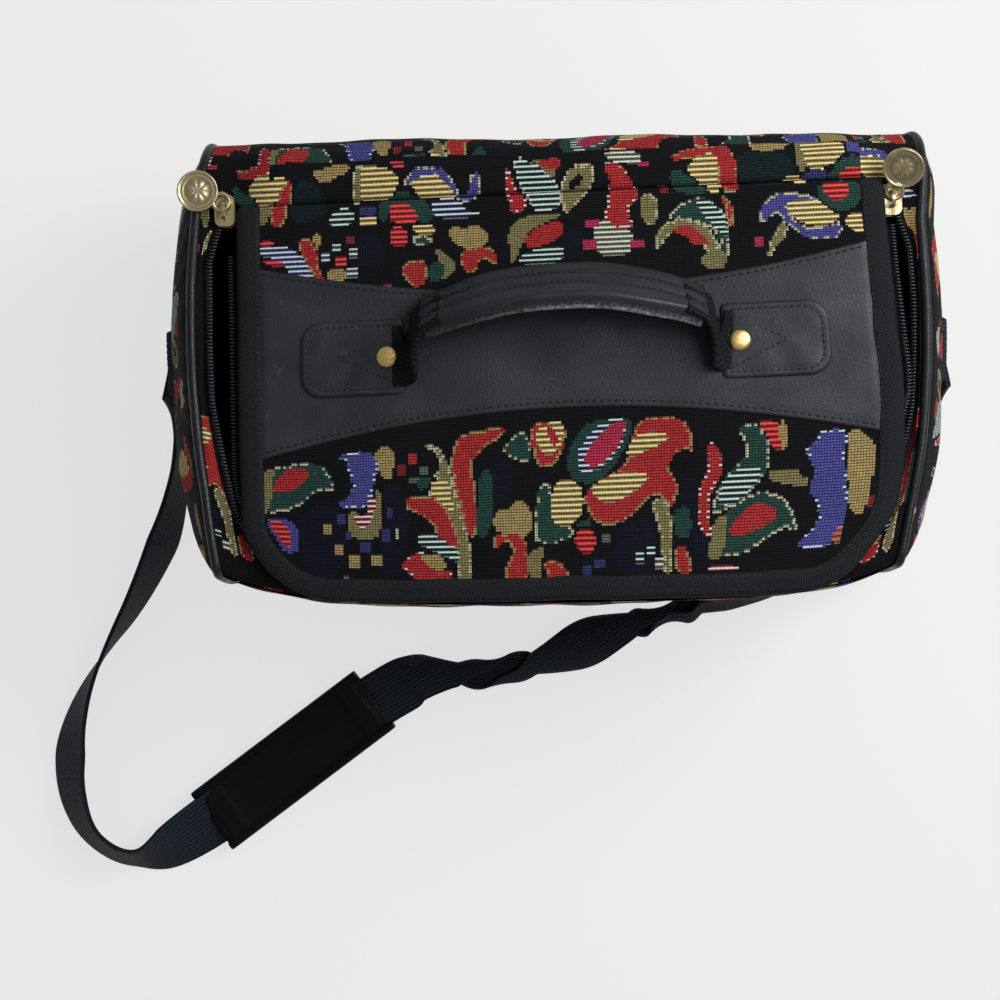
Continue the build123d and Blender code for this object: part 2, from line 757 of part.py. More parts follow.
# Shoulder strap
runs = [Vector(end) - Vector(start) for start, end in zip(strap_points, strap_points[1:])]
bends = []
for run, following in zip(runs, runs[1:]):
    turn = math.radians(run.get_angle(following))
    bends.append(turn_share * min(run.length, following.length) / math.tan(turn / 2))
print("strap bend radii", [round(bend, 1) for bend in bends])

with BuildPart() as shoulder_strap:
    with BuildLine() as strap_line:
        FilletPolyline(*strap_points, radius=bends)
    with BuildSketch(Plane(strap_line.line @ 0, z_dir=strap_line.line % 0)):
        Circle(cord_radius)
    sweep(path=strap_line.line)
shoulder_strap.part.label = "shoulder_strap"
export_step(shoulder_strap.part, "parts/shoulder_strap.step")
strap_length = strap_line.wire().length
print("strap length", strap_length)
cord_section = math.pi * cord_radius**2
print("strap volume over section times length", shoulder_strap.part.volume / (cord_section * strap_length))

with BuildPart() as shoulder_pad:
    pad_run = Vector(pad_end) - Vector(pad_start)
    pad_middle = (Vector(pad_end) + Vector(pad_start)) / 2
    pad_plane = Plane(pad_middle, x_dir=pad_run, z_dir=(0, 0, 1))
    with BuildSketch(pad_plane.offset(-pad_middle.Z)) as pad_plan:
        RectangleRounded(pad_length, pad_width, pad_round)
    extrude(amount=pad_height)
    fillet(shoulder_pad.edges().group_by(Axis.Z)[-1], pad_edge_round)
    with BuildSketch(Plane(pad_middle, x_dir=(0, 0, 1), z_dir=pad_run)):
        Circle(cord_radius + pad_bore_gap)
    extrude(amount=pad_length, both=True, mode=Mode.SUBTRACT)
shoulder_pad.part.label = "shoulder_pad"
export_step(shoulder_pad.part, "parts/shoulder_pad.step")
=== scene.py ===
import math

import bpy
import numpy as np
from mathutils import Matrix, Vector


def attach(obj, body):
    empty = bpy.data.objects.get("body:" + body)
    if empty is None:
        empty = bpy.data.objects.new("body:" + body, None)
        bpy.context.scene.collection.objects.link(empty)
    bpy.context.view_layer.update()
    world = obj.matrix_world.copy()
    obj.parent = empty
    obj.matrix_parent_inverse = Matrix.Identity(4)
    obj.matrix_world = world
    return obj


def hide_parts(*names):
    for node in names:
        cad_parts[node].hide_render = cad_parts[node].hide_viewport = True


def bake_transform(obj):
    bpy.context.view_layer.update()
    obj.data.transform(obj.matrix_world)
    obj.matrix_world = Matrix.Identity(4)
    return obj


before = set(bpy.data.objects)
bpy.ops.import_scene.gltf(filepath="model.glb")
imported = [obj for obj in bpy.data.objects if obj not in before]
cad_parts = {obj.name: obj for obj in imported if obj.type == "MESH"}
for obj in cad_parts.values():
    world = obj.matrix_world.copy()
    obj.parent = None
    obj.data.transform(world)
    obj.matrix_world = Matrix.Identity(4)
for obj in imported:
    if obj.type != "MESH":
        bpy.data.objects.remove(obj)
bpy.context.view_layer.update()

MM = 0.001
CELL = 1.22  # one cell of the weave, in mm
PI = math.pi
SIDES = ((1, "right"), (-1, "left"))


# ---------------------------------------------------------------- numbers
def wave(x, y, scale, seed):
    """Soft uneven waves between about -1 and 1, with bumps about scale mm across."""
    rs = np.random.RandomState(seed)
    total = 0
    for _ in range(7):
        a, p, f = rs.uniform(0, 2 * PI), rs.uniform(0, 2 * PI), rs.uniform(0.6, 1.5) * PI / scale
        total = total + np.sin(f * (x * math.cos(a) + y * math.sin(a)) + p)
    return total / 2.6


def step(a, b, x):
    t = np.clip((x - a) / (b - a), 0, 1)
    return t * t * (3 - 2 * t)


def unit(v):
    return v / np.maximum(np.linalg.norm(v, axis=-1, keepdims=True), 1e-9)


def along(points):
    """Distance along a line of points."""
    return np.concatenate([[0], np.cumsum(np.linalg.norm(np.diff(points, axis=0), axis=1))])


def read_at(t, s, points):
    """Points at distances t along a line whose own points lie at distances s."""
    return np.stack([np.interp(t, s, points[:, k]) for k in range(points.shape[1])], axis=1)


def even(points, pitch):
    """The same line with points at an even pitch."""
    s = along(points)
    n = max(2, int(round(s[-1] / pitch)) + 1)
    return read_at(np.linspace(0, s[-1], n), s, points)


def round_edge(edge, width):
    """Quarter-round rise, from 0 at an edge to 1 at width mm inside it."""
    return np.sqrt(np.clip(1 - (1 - np.clip(edge / width, 0, 1)) ** 2, 0, 1))


# ---------------------------------------------------------------- meshes
def add_mesh(name, verts, faces, mat, uv=None, smooth=True):
    """verts in mm; faces as an array or as lists of any length; uv holds one pair for each vert."""
    me = bpy.data.meshes.new(name)
    faces = faces.tolist() if isinstance(faces, np.ndarray) else faces
    me.from_pydata((np.asarray(verts, float) * MM).tolist(), [], faces)
    if uv is not None:
        idx = np.empty(len(me.loops), np.int32)
        me.loops.foreach_get("vertex_index", idx)
        me.uv_layers.new(name="UVMap").data.foreach_set("uv", np.asarray(uv, np.float32)[idx].ravel())
    me.polygons.foreach_set("use_smooth", np.broadcast_to(smooth, len(me.polygons)).copy())
    me.materials.append(mat)
    me.update()
    return add_object(name, me)


def add_object(name, data):
    ob = bpy.data.objects.new(name, data)
    bpy.context.scene.collection.objects.link(ob)
    return ob


def grid_faces(m, n, keep=None, ring=False):
    """Quads of an m by n grid of points. ring joins the last column to the first."""
    cols = n if ring else n - 1
    i, j = np.meshgrid(np.arange(m - 1), np.arange(cols), indexing="ij")
    j1 = (j + 1) % n
    f = np.stack([i * n + j, i * n + j1, (i + 1) * n + j1, (i + 1) * n + j], axis=-1)
    return f[keep] if keep is not None else f.reshape(-1, 4)


def capped_faces(m, n, turned=False):
    """Quads of a ring grid, with a face over each end."""
    caps = [list(range(n)), list(range((m - 1) * n, m * n))[::-1]]
    return grid_faces(m, n, ring=True).tolist() + [c[::-1] if turned else c for c in caps]


def tidy_faces(verts, faces, *more):
    """Drops points that no face uses."""
    used = np.unique(faces)
    new = np.full(len(verts), -1)
    new[used] = np.arange(len(used))
    return (verts[used], new[faces]) + tuple(x[used] for x in more)


def joined(parts):
    """One list of points and one of faces from several pairs of them."""
    first = np.cumsum([0] + [len(v) for v, _ in parts])
    return np.concatenate([v for v, _ in parts]), np.concatenate([f + k for (_, f), k in zip(parts, first)])


def grid_uv(u, v):
    """One pair for each point of a grid whose rows lie at u and whose columns lie at v."""
    return np.stack(np.broadcast_arrays(u[:, None], v[None]), -1).reshape(-1, 2)


def any_corner(touch):
    """Cells of a grid with at least one corner that touches."""
    return touch[:-1, :-1] | touch[1:, :-1] | touch[:-1, 1:] | touch[1:, 1:]


def finish_piece(ob, body, nodes=()):
    if nodes:
        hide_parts(*nodes)
    if body:
        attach(ob, body)
    if body in ("lid", "handle"):
        reshape(ob, lid_settle)
    return ob


def reshape(ob, how):
    co = np.empty(len(ob.data.vertices) * 3, np.float32)
    ob.data.vertices.foreach_get("co", co)
    ob.data.vertices.foreach_set("co", (how(co.reshape(-1, 3) / MM) * MM).astype(np.float32).ravel())
    ob.data.update()


def settle(points, bow=1.0, lean=1.0):
    """The soft case as it stands: its front corners are drawn back and its ends bow out in the middle."""
    q = np.array(points, float)
    x, y = q[..., 0].copy(), q[..., 1].copy()
    far = np.abs(x) / 162.3
    q[..., 0] -= np.sign(x) * bow * 9.2 * ((y - 5) / 100) ** 2 * np.minimum(far, 1.05) ** 3
    right = np.interp(y, [-100, -77, -44, -16, 26, 64, 80, 100], [-5, -4.9, -3.6, -3.1, -1.7, -1, 2, 5.5])
    left = np.interp(y, [-100, -60, -20, 10, 40], [0, -2, -2, -1, 0])
    q[..., 0] += np.where(x > 0, right, -left) * lean * np.minimum(far, 1) ** 4
    q[..., 1] += 14 * np.minimum(far, 1) ** 4 * np.clip((20 - y) / 122, 0, 1.03)
    return q


def lid_settle(points):
    """The lid as it lies: turned a little on the case, with its right side pushed out."""
    q = np.array(points, float)
    x, y = q[..., 0].copy(), q[..., 1].copy()
    push = np.interp(y, [-84, -78, -71, -63, -52, -40, -22, -5, 15, 40, 82], [0, 1.6, 4, 6.2, 8, 8.9, 9, 8, 6, 3.6, 1])
    q[..., 0] += np.where(x > 0, push * (x / 142) ** 2, 0)
    q[..., 1] += 0.03 * x * step(-100, -30, y) - 4 * step(30, 80, y)
    q[..., 1] += 5 * (np.abs(x) / 142) ** 4 * np.clip((-20 - y) / 80, 0, 1)
    return q


def tube(name, path, radius, mat, sides):
    """Round tube along a closed line of points in mm, which stands across X."""
    t = unit(np.roll(path, -1, 0) - np.roll(path, 1, 0))
    side = np.tile([1.0, 0, 0], (len(path), 1))
    top = unit(np.cross(side, t))
    a = np.linspace(0, 2 * PI, sides, endpoint=False)
    v = path[:, None] + radius * (np.cos(a)[None, :, None] * side[:, None] + np.sin(a)[None, :, None] * top[:, None])
    v = np.concatenate([v, v[:1]])
    uv = grid_uv(along(np.concatenate([path, path[:1]])), np.linspace(0, 1, sides))
    return add_mesh(name, v.reshape(-1, 3), grid_faces(len(v), sides, ring=True), mat, uv)


def stitches(name, lines, pitch=3.1, length=2.3, radius=0.34):
    """Small thread stitches along lines of points; each line is (points, normals)."""
    parts = []
    a = np.linspace(0, 2 * PI, 6, endpoint=False)
    rings = [(-1, 0.15), (-0.72, 0.8), (0, 1), (0.72, 0.8), (1, 0.15)]  # place along the stitch, share of its radius
    faces = grid_faces(len(rings), len(a), ring=True)
    for pts, nrm in lines:
        nrm = np.broadcast_to(np.asarray(nrm, float), pts.shape)
        s = along(pts)
        n = max(1, int(s[-1] / pitch))
        at = (np.arange(n) + 0.5) * s[-1] / n
        c = read_at(at, s, pts)
        t = unit(read_at(at + 0.4, s, pts) - read_at(at - 0.4, s, pts))
        up = unit(read_at(at, s, nrm))
        b = unit(np.cross(up, t))
        for k in range(n):
            ring = []
            for x, r in rings:
                ring.append(c[k] + t[k] * x * length / 2 + radius * r * (
                    np.cos(a)[:, None] * b[k] * 1.1 + np.sin(a)[:, None] * up[k] * 0.8) + up[k] * 0.1 * (1 - abs(x)))
            parts.append((np.concatenate(ring), faces))
    return add_mesh(name, *joined(parts), THREAD)


def u_line(half, front, corner, back, pitch=2.0):
    """Line round the lid in plan, from the back of the left side to the back of the right, with outward directions."""
    a = np.linspace(0, PI / 2, 40)
    left = np.stack([-half + corner - corner * np.cos(a), front + corner - corner * np.sin(a)], 1)
    right = np.stack([half - corner + corner * np.sin(a), front + corner - corner * np.cos(a)], 1)
    raw = np.concatenate([[[-half, back]], left, right, [[half, back]]])
    p = even(raw, pitch)
    t = unit(np.gradient(p, axis=0))
    out = np.stack([t[:, 1], -t[:, 0]], 1)
    return p, out


def with_z(p, z):
    return np.column_stack([p, np.broadcast_to(z, (len(p),))])


# ---------------------------------------------------------------- materials
def lin(r, g, b):
    c = np.array([r, g, b]) / 255
    return np.where(c <= 0.04045, c / 12.92, ((c + 0.055) / 1.055) ** 2.4)


class Shader:
    """A material on one Principled BSDF, with short ways to add nodes."""

    def __init__(self, name, colour, rough=0.6, metal=0.0, spec=0.5):
        self.mat = bpy.data.materials.new(name)
        self.mat.use_nodes = True
        self.nt = self.mat.node_tree
        self.bsdf = self.nt.nodes["Principled BSDF"]
        rgb = tuple(float(c) for c in colour)
        self.bsdf.inputs["Base Color"].default_value = rgb + (1,)
        self.bsdf.inputs["Roughness"].default_value = rough
        self.bsdf.inputs["Metallic"].default_value = metal
        self.bsdf.inputs["Specular IOR Level"].default_value = spec
        self.mat.diffuse_color = rgb + (1,)
        self._uv = self._obj = None

    def put(self, socket, value):
        if isinstance(value, bpy.types.NodeSocket):
            self.nt.links.new(value, socket)
        else:
            socket.default_value = value

    def math(self, op, a, b=None):
        n = self.nt.nodes.new("ShaderNodeMath")
        n.operation = op
        for k, v in enumerate((a, b)):
            if v is not None:
                self.put(n.inputs[k], v)
        return n.outputs[0]

    def ramp(self, x, lo, hi, a=0.0, b=1.0):
        n = self.nt.nodes.new("ShaderNodeMapRange")
        n.interpolation_type = "SMOOTHSTEP"
        for k, v in enumerate((x, lo, hi, a, b)):
            self.put(n.inputs[k], v)
        return n.outputs[0]

    def mix(self, f, a, b, mode="MIX"):
        n = self.nt.nodes.new("ShaderNodeMix")
        n.data_type, n.blend_type = "RGBA", mode
        self.put(n.inputs[0], f)
        for k, v in ((6, a), (7, b)):
            self.put(n.inputs[k], v if isinstance(v, bpy.types.NodeSocket) else tuple(v) + (1,) * (4 - len(v)))
        return n.outputs[2]

    def grey(self, x):
        n = self.nt.nodes.new("ShaderNodeCombineColor")
        for k in range(3):
            self.put(n.inputs[k], x)
        return n.outputs[0]

    def uv(self):
        if self._uv is None:
            n = self.nt.nodes.new("ShaderNodeUVMap")
            n.uv_map = "UVMap"
            s = self.nt.nodes.new("ShaderNodeSeparateXYZ")
            self.nt.links.new(n.outputs[0], s.inputs[0])
            self._uv = (s.outputs[0], s.outputs[1])
        return self._uv

    def place(self):
        if self._obj is None:
            self._obj = self.nt.nodes.new("ShaderNodeTexCoord").outputs["Object"]
        return self._obj

    def noise(self, scale, detail=3.0, rough=0.5):
        n = self.nt.nodes.new("ShaderNodeTexNoise")
        self.put(n.inputs["Vector"], self.place())
        n.inputs["Scale"].default_value = scale
        n.inputs["Detail"].default_value = detail
        n.inputs["Roughness"].default_value = rough
        return n.outputs[0]

    def cells(self, scale):
        n = self.nt.nodes.new("ShaderNodeTexVoronoi")
        self.put(n.inputs["Vector"], self.place())
        n.inputs["Scale"].default_value = scale
        return n.outputs[0]

    def attr(self, name, fac=False):
        n = self.nt.nodes.new("ShaderNodeAttribute")
        n.attribute_name = name
        return n.outputs["Fac" if fac else "Color"]

    def colour(self, socket):
        self.put(self.bsdf.inputs["Base Color"], socket)

    def rough(self, socket):
        self.put(self.bsdf.inputs["Roughness"], socket)

    def bump(self, height, strength, distance):
        n = self.nt.nodes.new("ShaderNodeBump")
        n.inputs["Strength"].default_value = strength
        n.inputs["Distance"].default_value = distance
        self.put(n.inputs["Height"], height)
        self.put(self.bsdf.inputs["Normal"], n.outputs[0])


def tapestry_material():
    m = Shader("tapestry", lin(24, 22, 26), 0.85, spec=0.12)
    u, v = m.uv()
    across = m.math("ABSOLUTE", m.math("SINE", m.math("MULTIPLY", u, PI)))
    down = m.math("ABSOLUTE", m.math("SINE", m.math("MULTIPLY", v, PI)))
    pair = m.math("ABSOLUTE", m.math("SINE", m.math("MULTIPLY", v, PI / 2)))
    knot = m.math("MULTIPLY", m.ramp(across, 0.1, 0.6, 0.3, 1.0), m.ramp(down, 0.15, 0.75, 0.12, 1.0))
    row = m.ramp(pair, 0.8, 0.93)
    a, b, s = m.attr("thread"), m.attr("float"), m.attr("floats", fac=True)
    # each knot's thread colour is darkened towards the knot's edges: painted shade in the gaps between the knots
    plain = m.mix(1.0, a, m.grey(knot), "MULTIPLY")
    # between the rows of floats the ground thread is darkened to 0.6: painted shade beside the raised floats
    floats = m.mix(row, m.mix(1.0, plain, (0.6, 0.6, 0.6), "MULTIPLY"), b)
    col = m.mix(s, plain, floats)
    fibre = m.ramp(m.noise(2600.0, 2.0), 0.25, 0.75, 0.65, 1.25)
    m.colour(m.mix(1.0, col, m.grey(fibre), "MULTIPLY"))
    height = m.math("ADD", m.math("MULTIPLY", knot, 0.7), m.math("MULTIPLY", m.math("MULTIPLY", row, s), 0.25))
    height = m.math("ADD", height, m.math("MULTIPLY", m.noise(2200.0, 2.0), 0.25))
    m.bump(height, 0.5, 0.0003)
    return m.mat


def leather_material(name, dark, light, rough=0.46, scuff=0.35, spec=0.28):
    m = Shader(name, dark, rough, spec=spec)
    cloud = m.ramp(m.noise(14.0, 4.0, 0.6), 0.35, 0.7)
    col = m.mix(cloud, dark, light)
    marks = m.math("MULTIPLY", m.ramp(m.noise(95.0, 6.0, 0.75), 0.62, 0.74), scuff)
    col = m.mix(marks, col, lin(88, 91, 96))
    # near-white where this attribute is set: a worn edge, and also a painted highlight along it
    wear_and_highlight = m.attr("wear_and_highlight", fac=True)
    grit = m.ramp(m.noise(420.0, 4.0, 0.7), 0.38, 0.62, 0.15, 1.0)
    col = m.mix(m.math("MULTIPLY", wear_and_highlight, grit), col, lin(196, 192, 186))
    m.colour(col)
    m.rough(m.ramp(m.noise(60.0, 3.0), 0.3, 0.7, rough - 0.07, rough + 0.12))
    grain = m.math("ADD", m.math("MULTIPLY", m.cells(1150.0), 0.6), m.math("MULTIPLY", m.noise(700.0, 3.0), 0.5))
    grain = m.math("ADD", grain, m.math("MULTIPLY", m.noise(60.0, 3.0), 1.4))
    m.bump(grain, 0.28, 0.0004)
    return m.mat


def ribbed_material(name, dark, light, rib=2.0, rough=0.6, slant=0.0):
    """Webbing: UV u runs along, v across, both in mm."""
    m = Shader(name, dark, rough, spec=0.14)
    u, v = m.uv()
    line = m.math("ADD", m.math("MULTIPLY", v, 2 * PI / rib), m.math("MULTIPLY", u, slant * 2 * PI / rib))
    ridge = m.ramp(m.math("SINE", line), -0.8, 0.8)
    pick = m.ramp(m.math("SINE", m.math("MULTIPLY", u, 2 * PI / 0.85)), -0.9, 0.9)
    h = m.math("ADD", ridge, m.math("MULTIPLY", pick, 0.35))
    shade = m.math("MULTIPLY", m.ramp(ridge, 0.0, 1.0, 0.35, 1.0), m.ramp(m.noise(1500.0, 2.0), 0.3, 0.7, 0.7, 1.1))
    m.colour(m.mix(shade, dark, light))
    m.bump(h, 0.7, 0.0004)
    return m.mat


def binding_material():
    m = Shader("binding_tape", lin(24, 25, 28), 0.75, spec=0.16)
    u, v = m.uv()
    zig = m.math("PINGPONG", v, 2.4)
    line = m.math("SINE", m.math("MULTIPLY", m.math("ADD", u, zig), 2 * PI / 1.25))
    ridge = m.ramp(line, -0.7, 0.9)
    fuzz = m.ramp(m.noise(1700.0, 3.0), 0.3, 0.7, 0.5, 1.2)
    # the twill's ridges are painted lighter and its grooves darker: painted highlight and painted shade
    m.colour(m.mix(m.math("MULTIPLY", ridge, fuzz), lin(6, 6, 8), lin(36, 37, 41)))
    m.bump(m.math("ADD", ridge, m.math("MULTIPLY", m.noise(1700.0, 2.0), 0.5)), 0.6, 0.00035)
    return m.mat


def brass_material(name, light, dark):
    m = Shader(name, light, 0.36, metal=1.0)
    patina = m.ramp(m.noise(260.0, 5.0, 0.65), 0.42, 0.66)
    hollow = m.attr("hollow", fac=True)
    col = m.mix(m.math("MULTIPLY", patina, 0.6), light, dark)
    m.colour(m.mix(hollow, col, dark))
    m.rough(m.ramp(patina, 0.0, 1.0, 0.3, 0.55))
    m.bump(m.noise(900.0, 3.0), 0.12, 0.0002)
    return m.mat


def plain_material(name, colour, rough, bump=0.2, scale=1200.0, spec=0.4):
    m = Shader(name, colour, rough, spec=spec)
    f = m.ramp(m.noise(scale, 3.0), 0.3, 0.7, 0.75, 1.2)
    m.colour(m.mix(1.0, tuple(float(c) for c in colour), m.grey(f), "MULTIPLY"))
    m.bump(m.noise(scale, 3.0), bump, 0.0003)
    return m.mat


TAPESTRY = tapestry_material()
LEATHER = leather_material("leather", lin(22, 25, 31), lin(36, 39, 46))
PIPING = leather_material("piping", lin(13, 14, 17), lin(24, 25, 29), 0.4, 0.1)
BINDING = binding_material()
ZIP_TAPE = ribbed_material("zip_tape", lin(5, 5, 7), lin(20, 21, 25), 1.1, 0.8, 0.8)
ZIP_COIL = plain_material("zip_coil", lin(30, 31, 36), 0.3, 0.05, spec=0.6)
WEBBING = ribbed_material("webbing", lin(3, 5, 7), lin(34, 43, 52), 2.1, 0.66)
LOOP_WEB = ribbed_material("loop_webbing", lin(4, 4, 6), lin(22, 23, 27), 2.8, 0.8, 0.9)
THREAD = plain_material("thread", lin(14, 14, 16), 0.6, 0.1)
BRASS = brass_material("brass", lin(196, 180, 142), lin(96, 82, 54))
RIVET = brass_material("rivet_brass", lin(222, 190, 124), lin(160, 128, 74))
VINYL = leather_material("pad_vinyl", lin(5, 6, 8), lin(10, 11, 14), 0.5, 0.04, 0.1)
LINING = plain_material("lining_cloth", lin(14, 14, 17), 0.85, 0.25, 900.0)
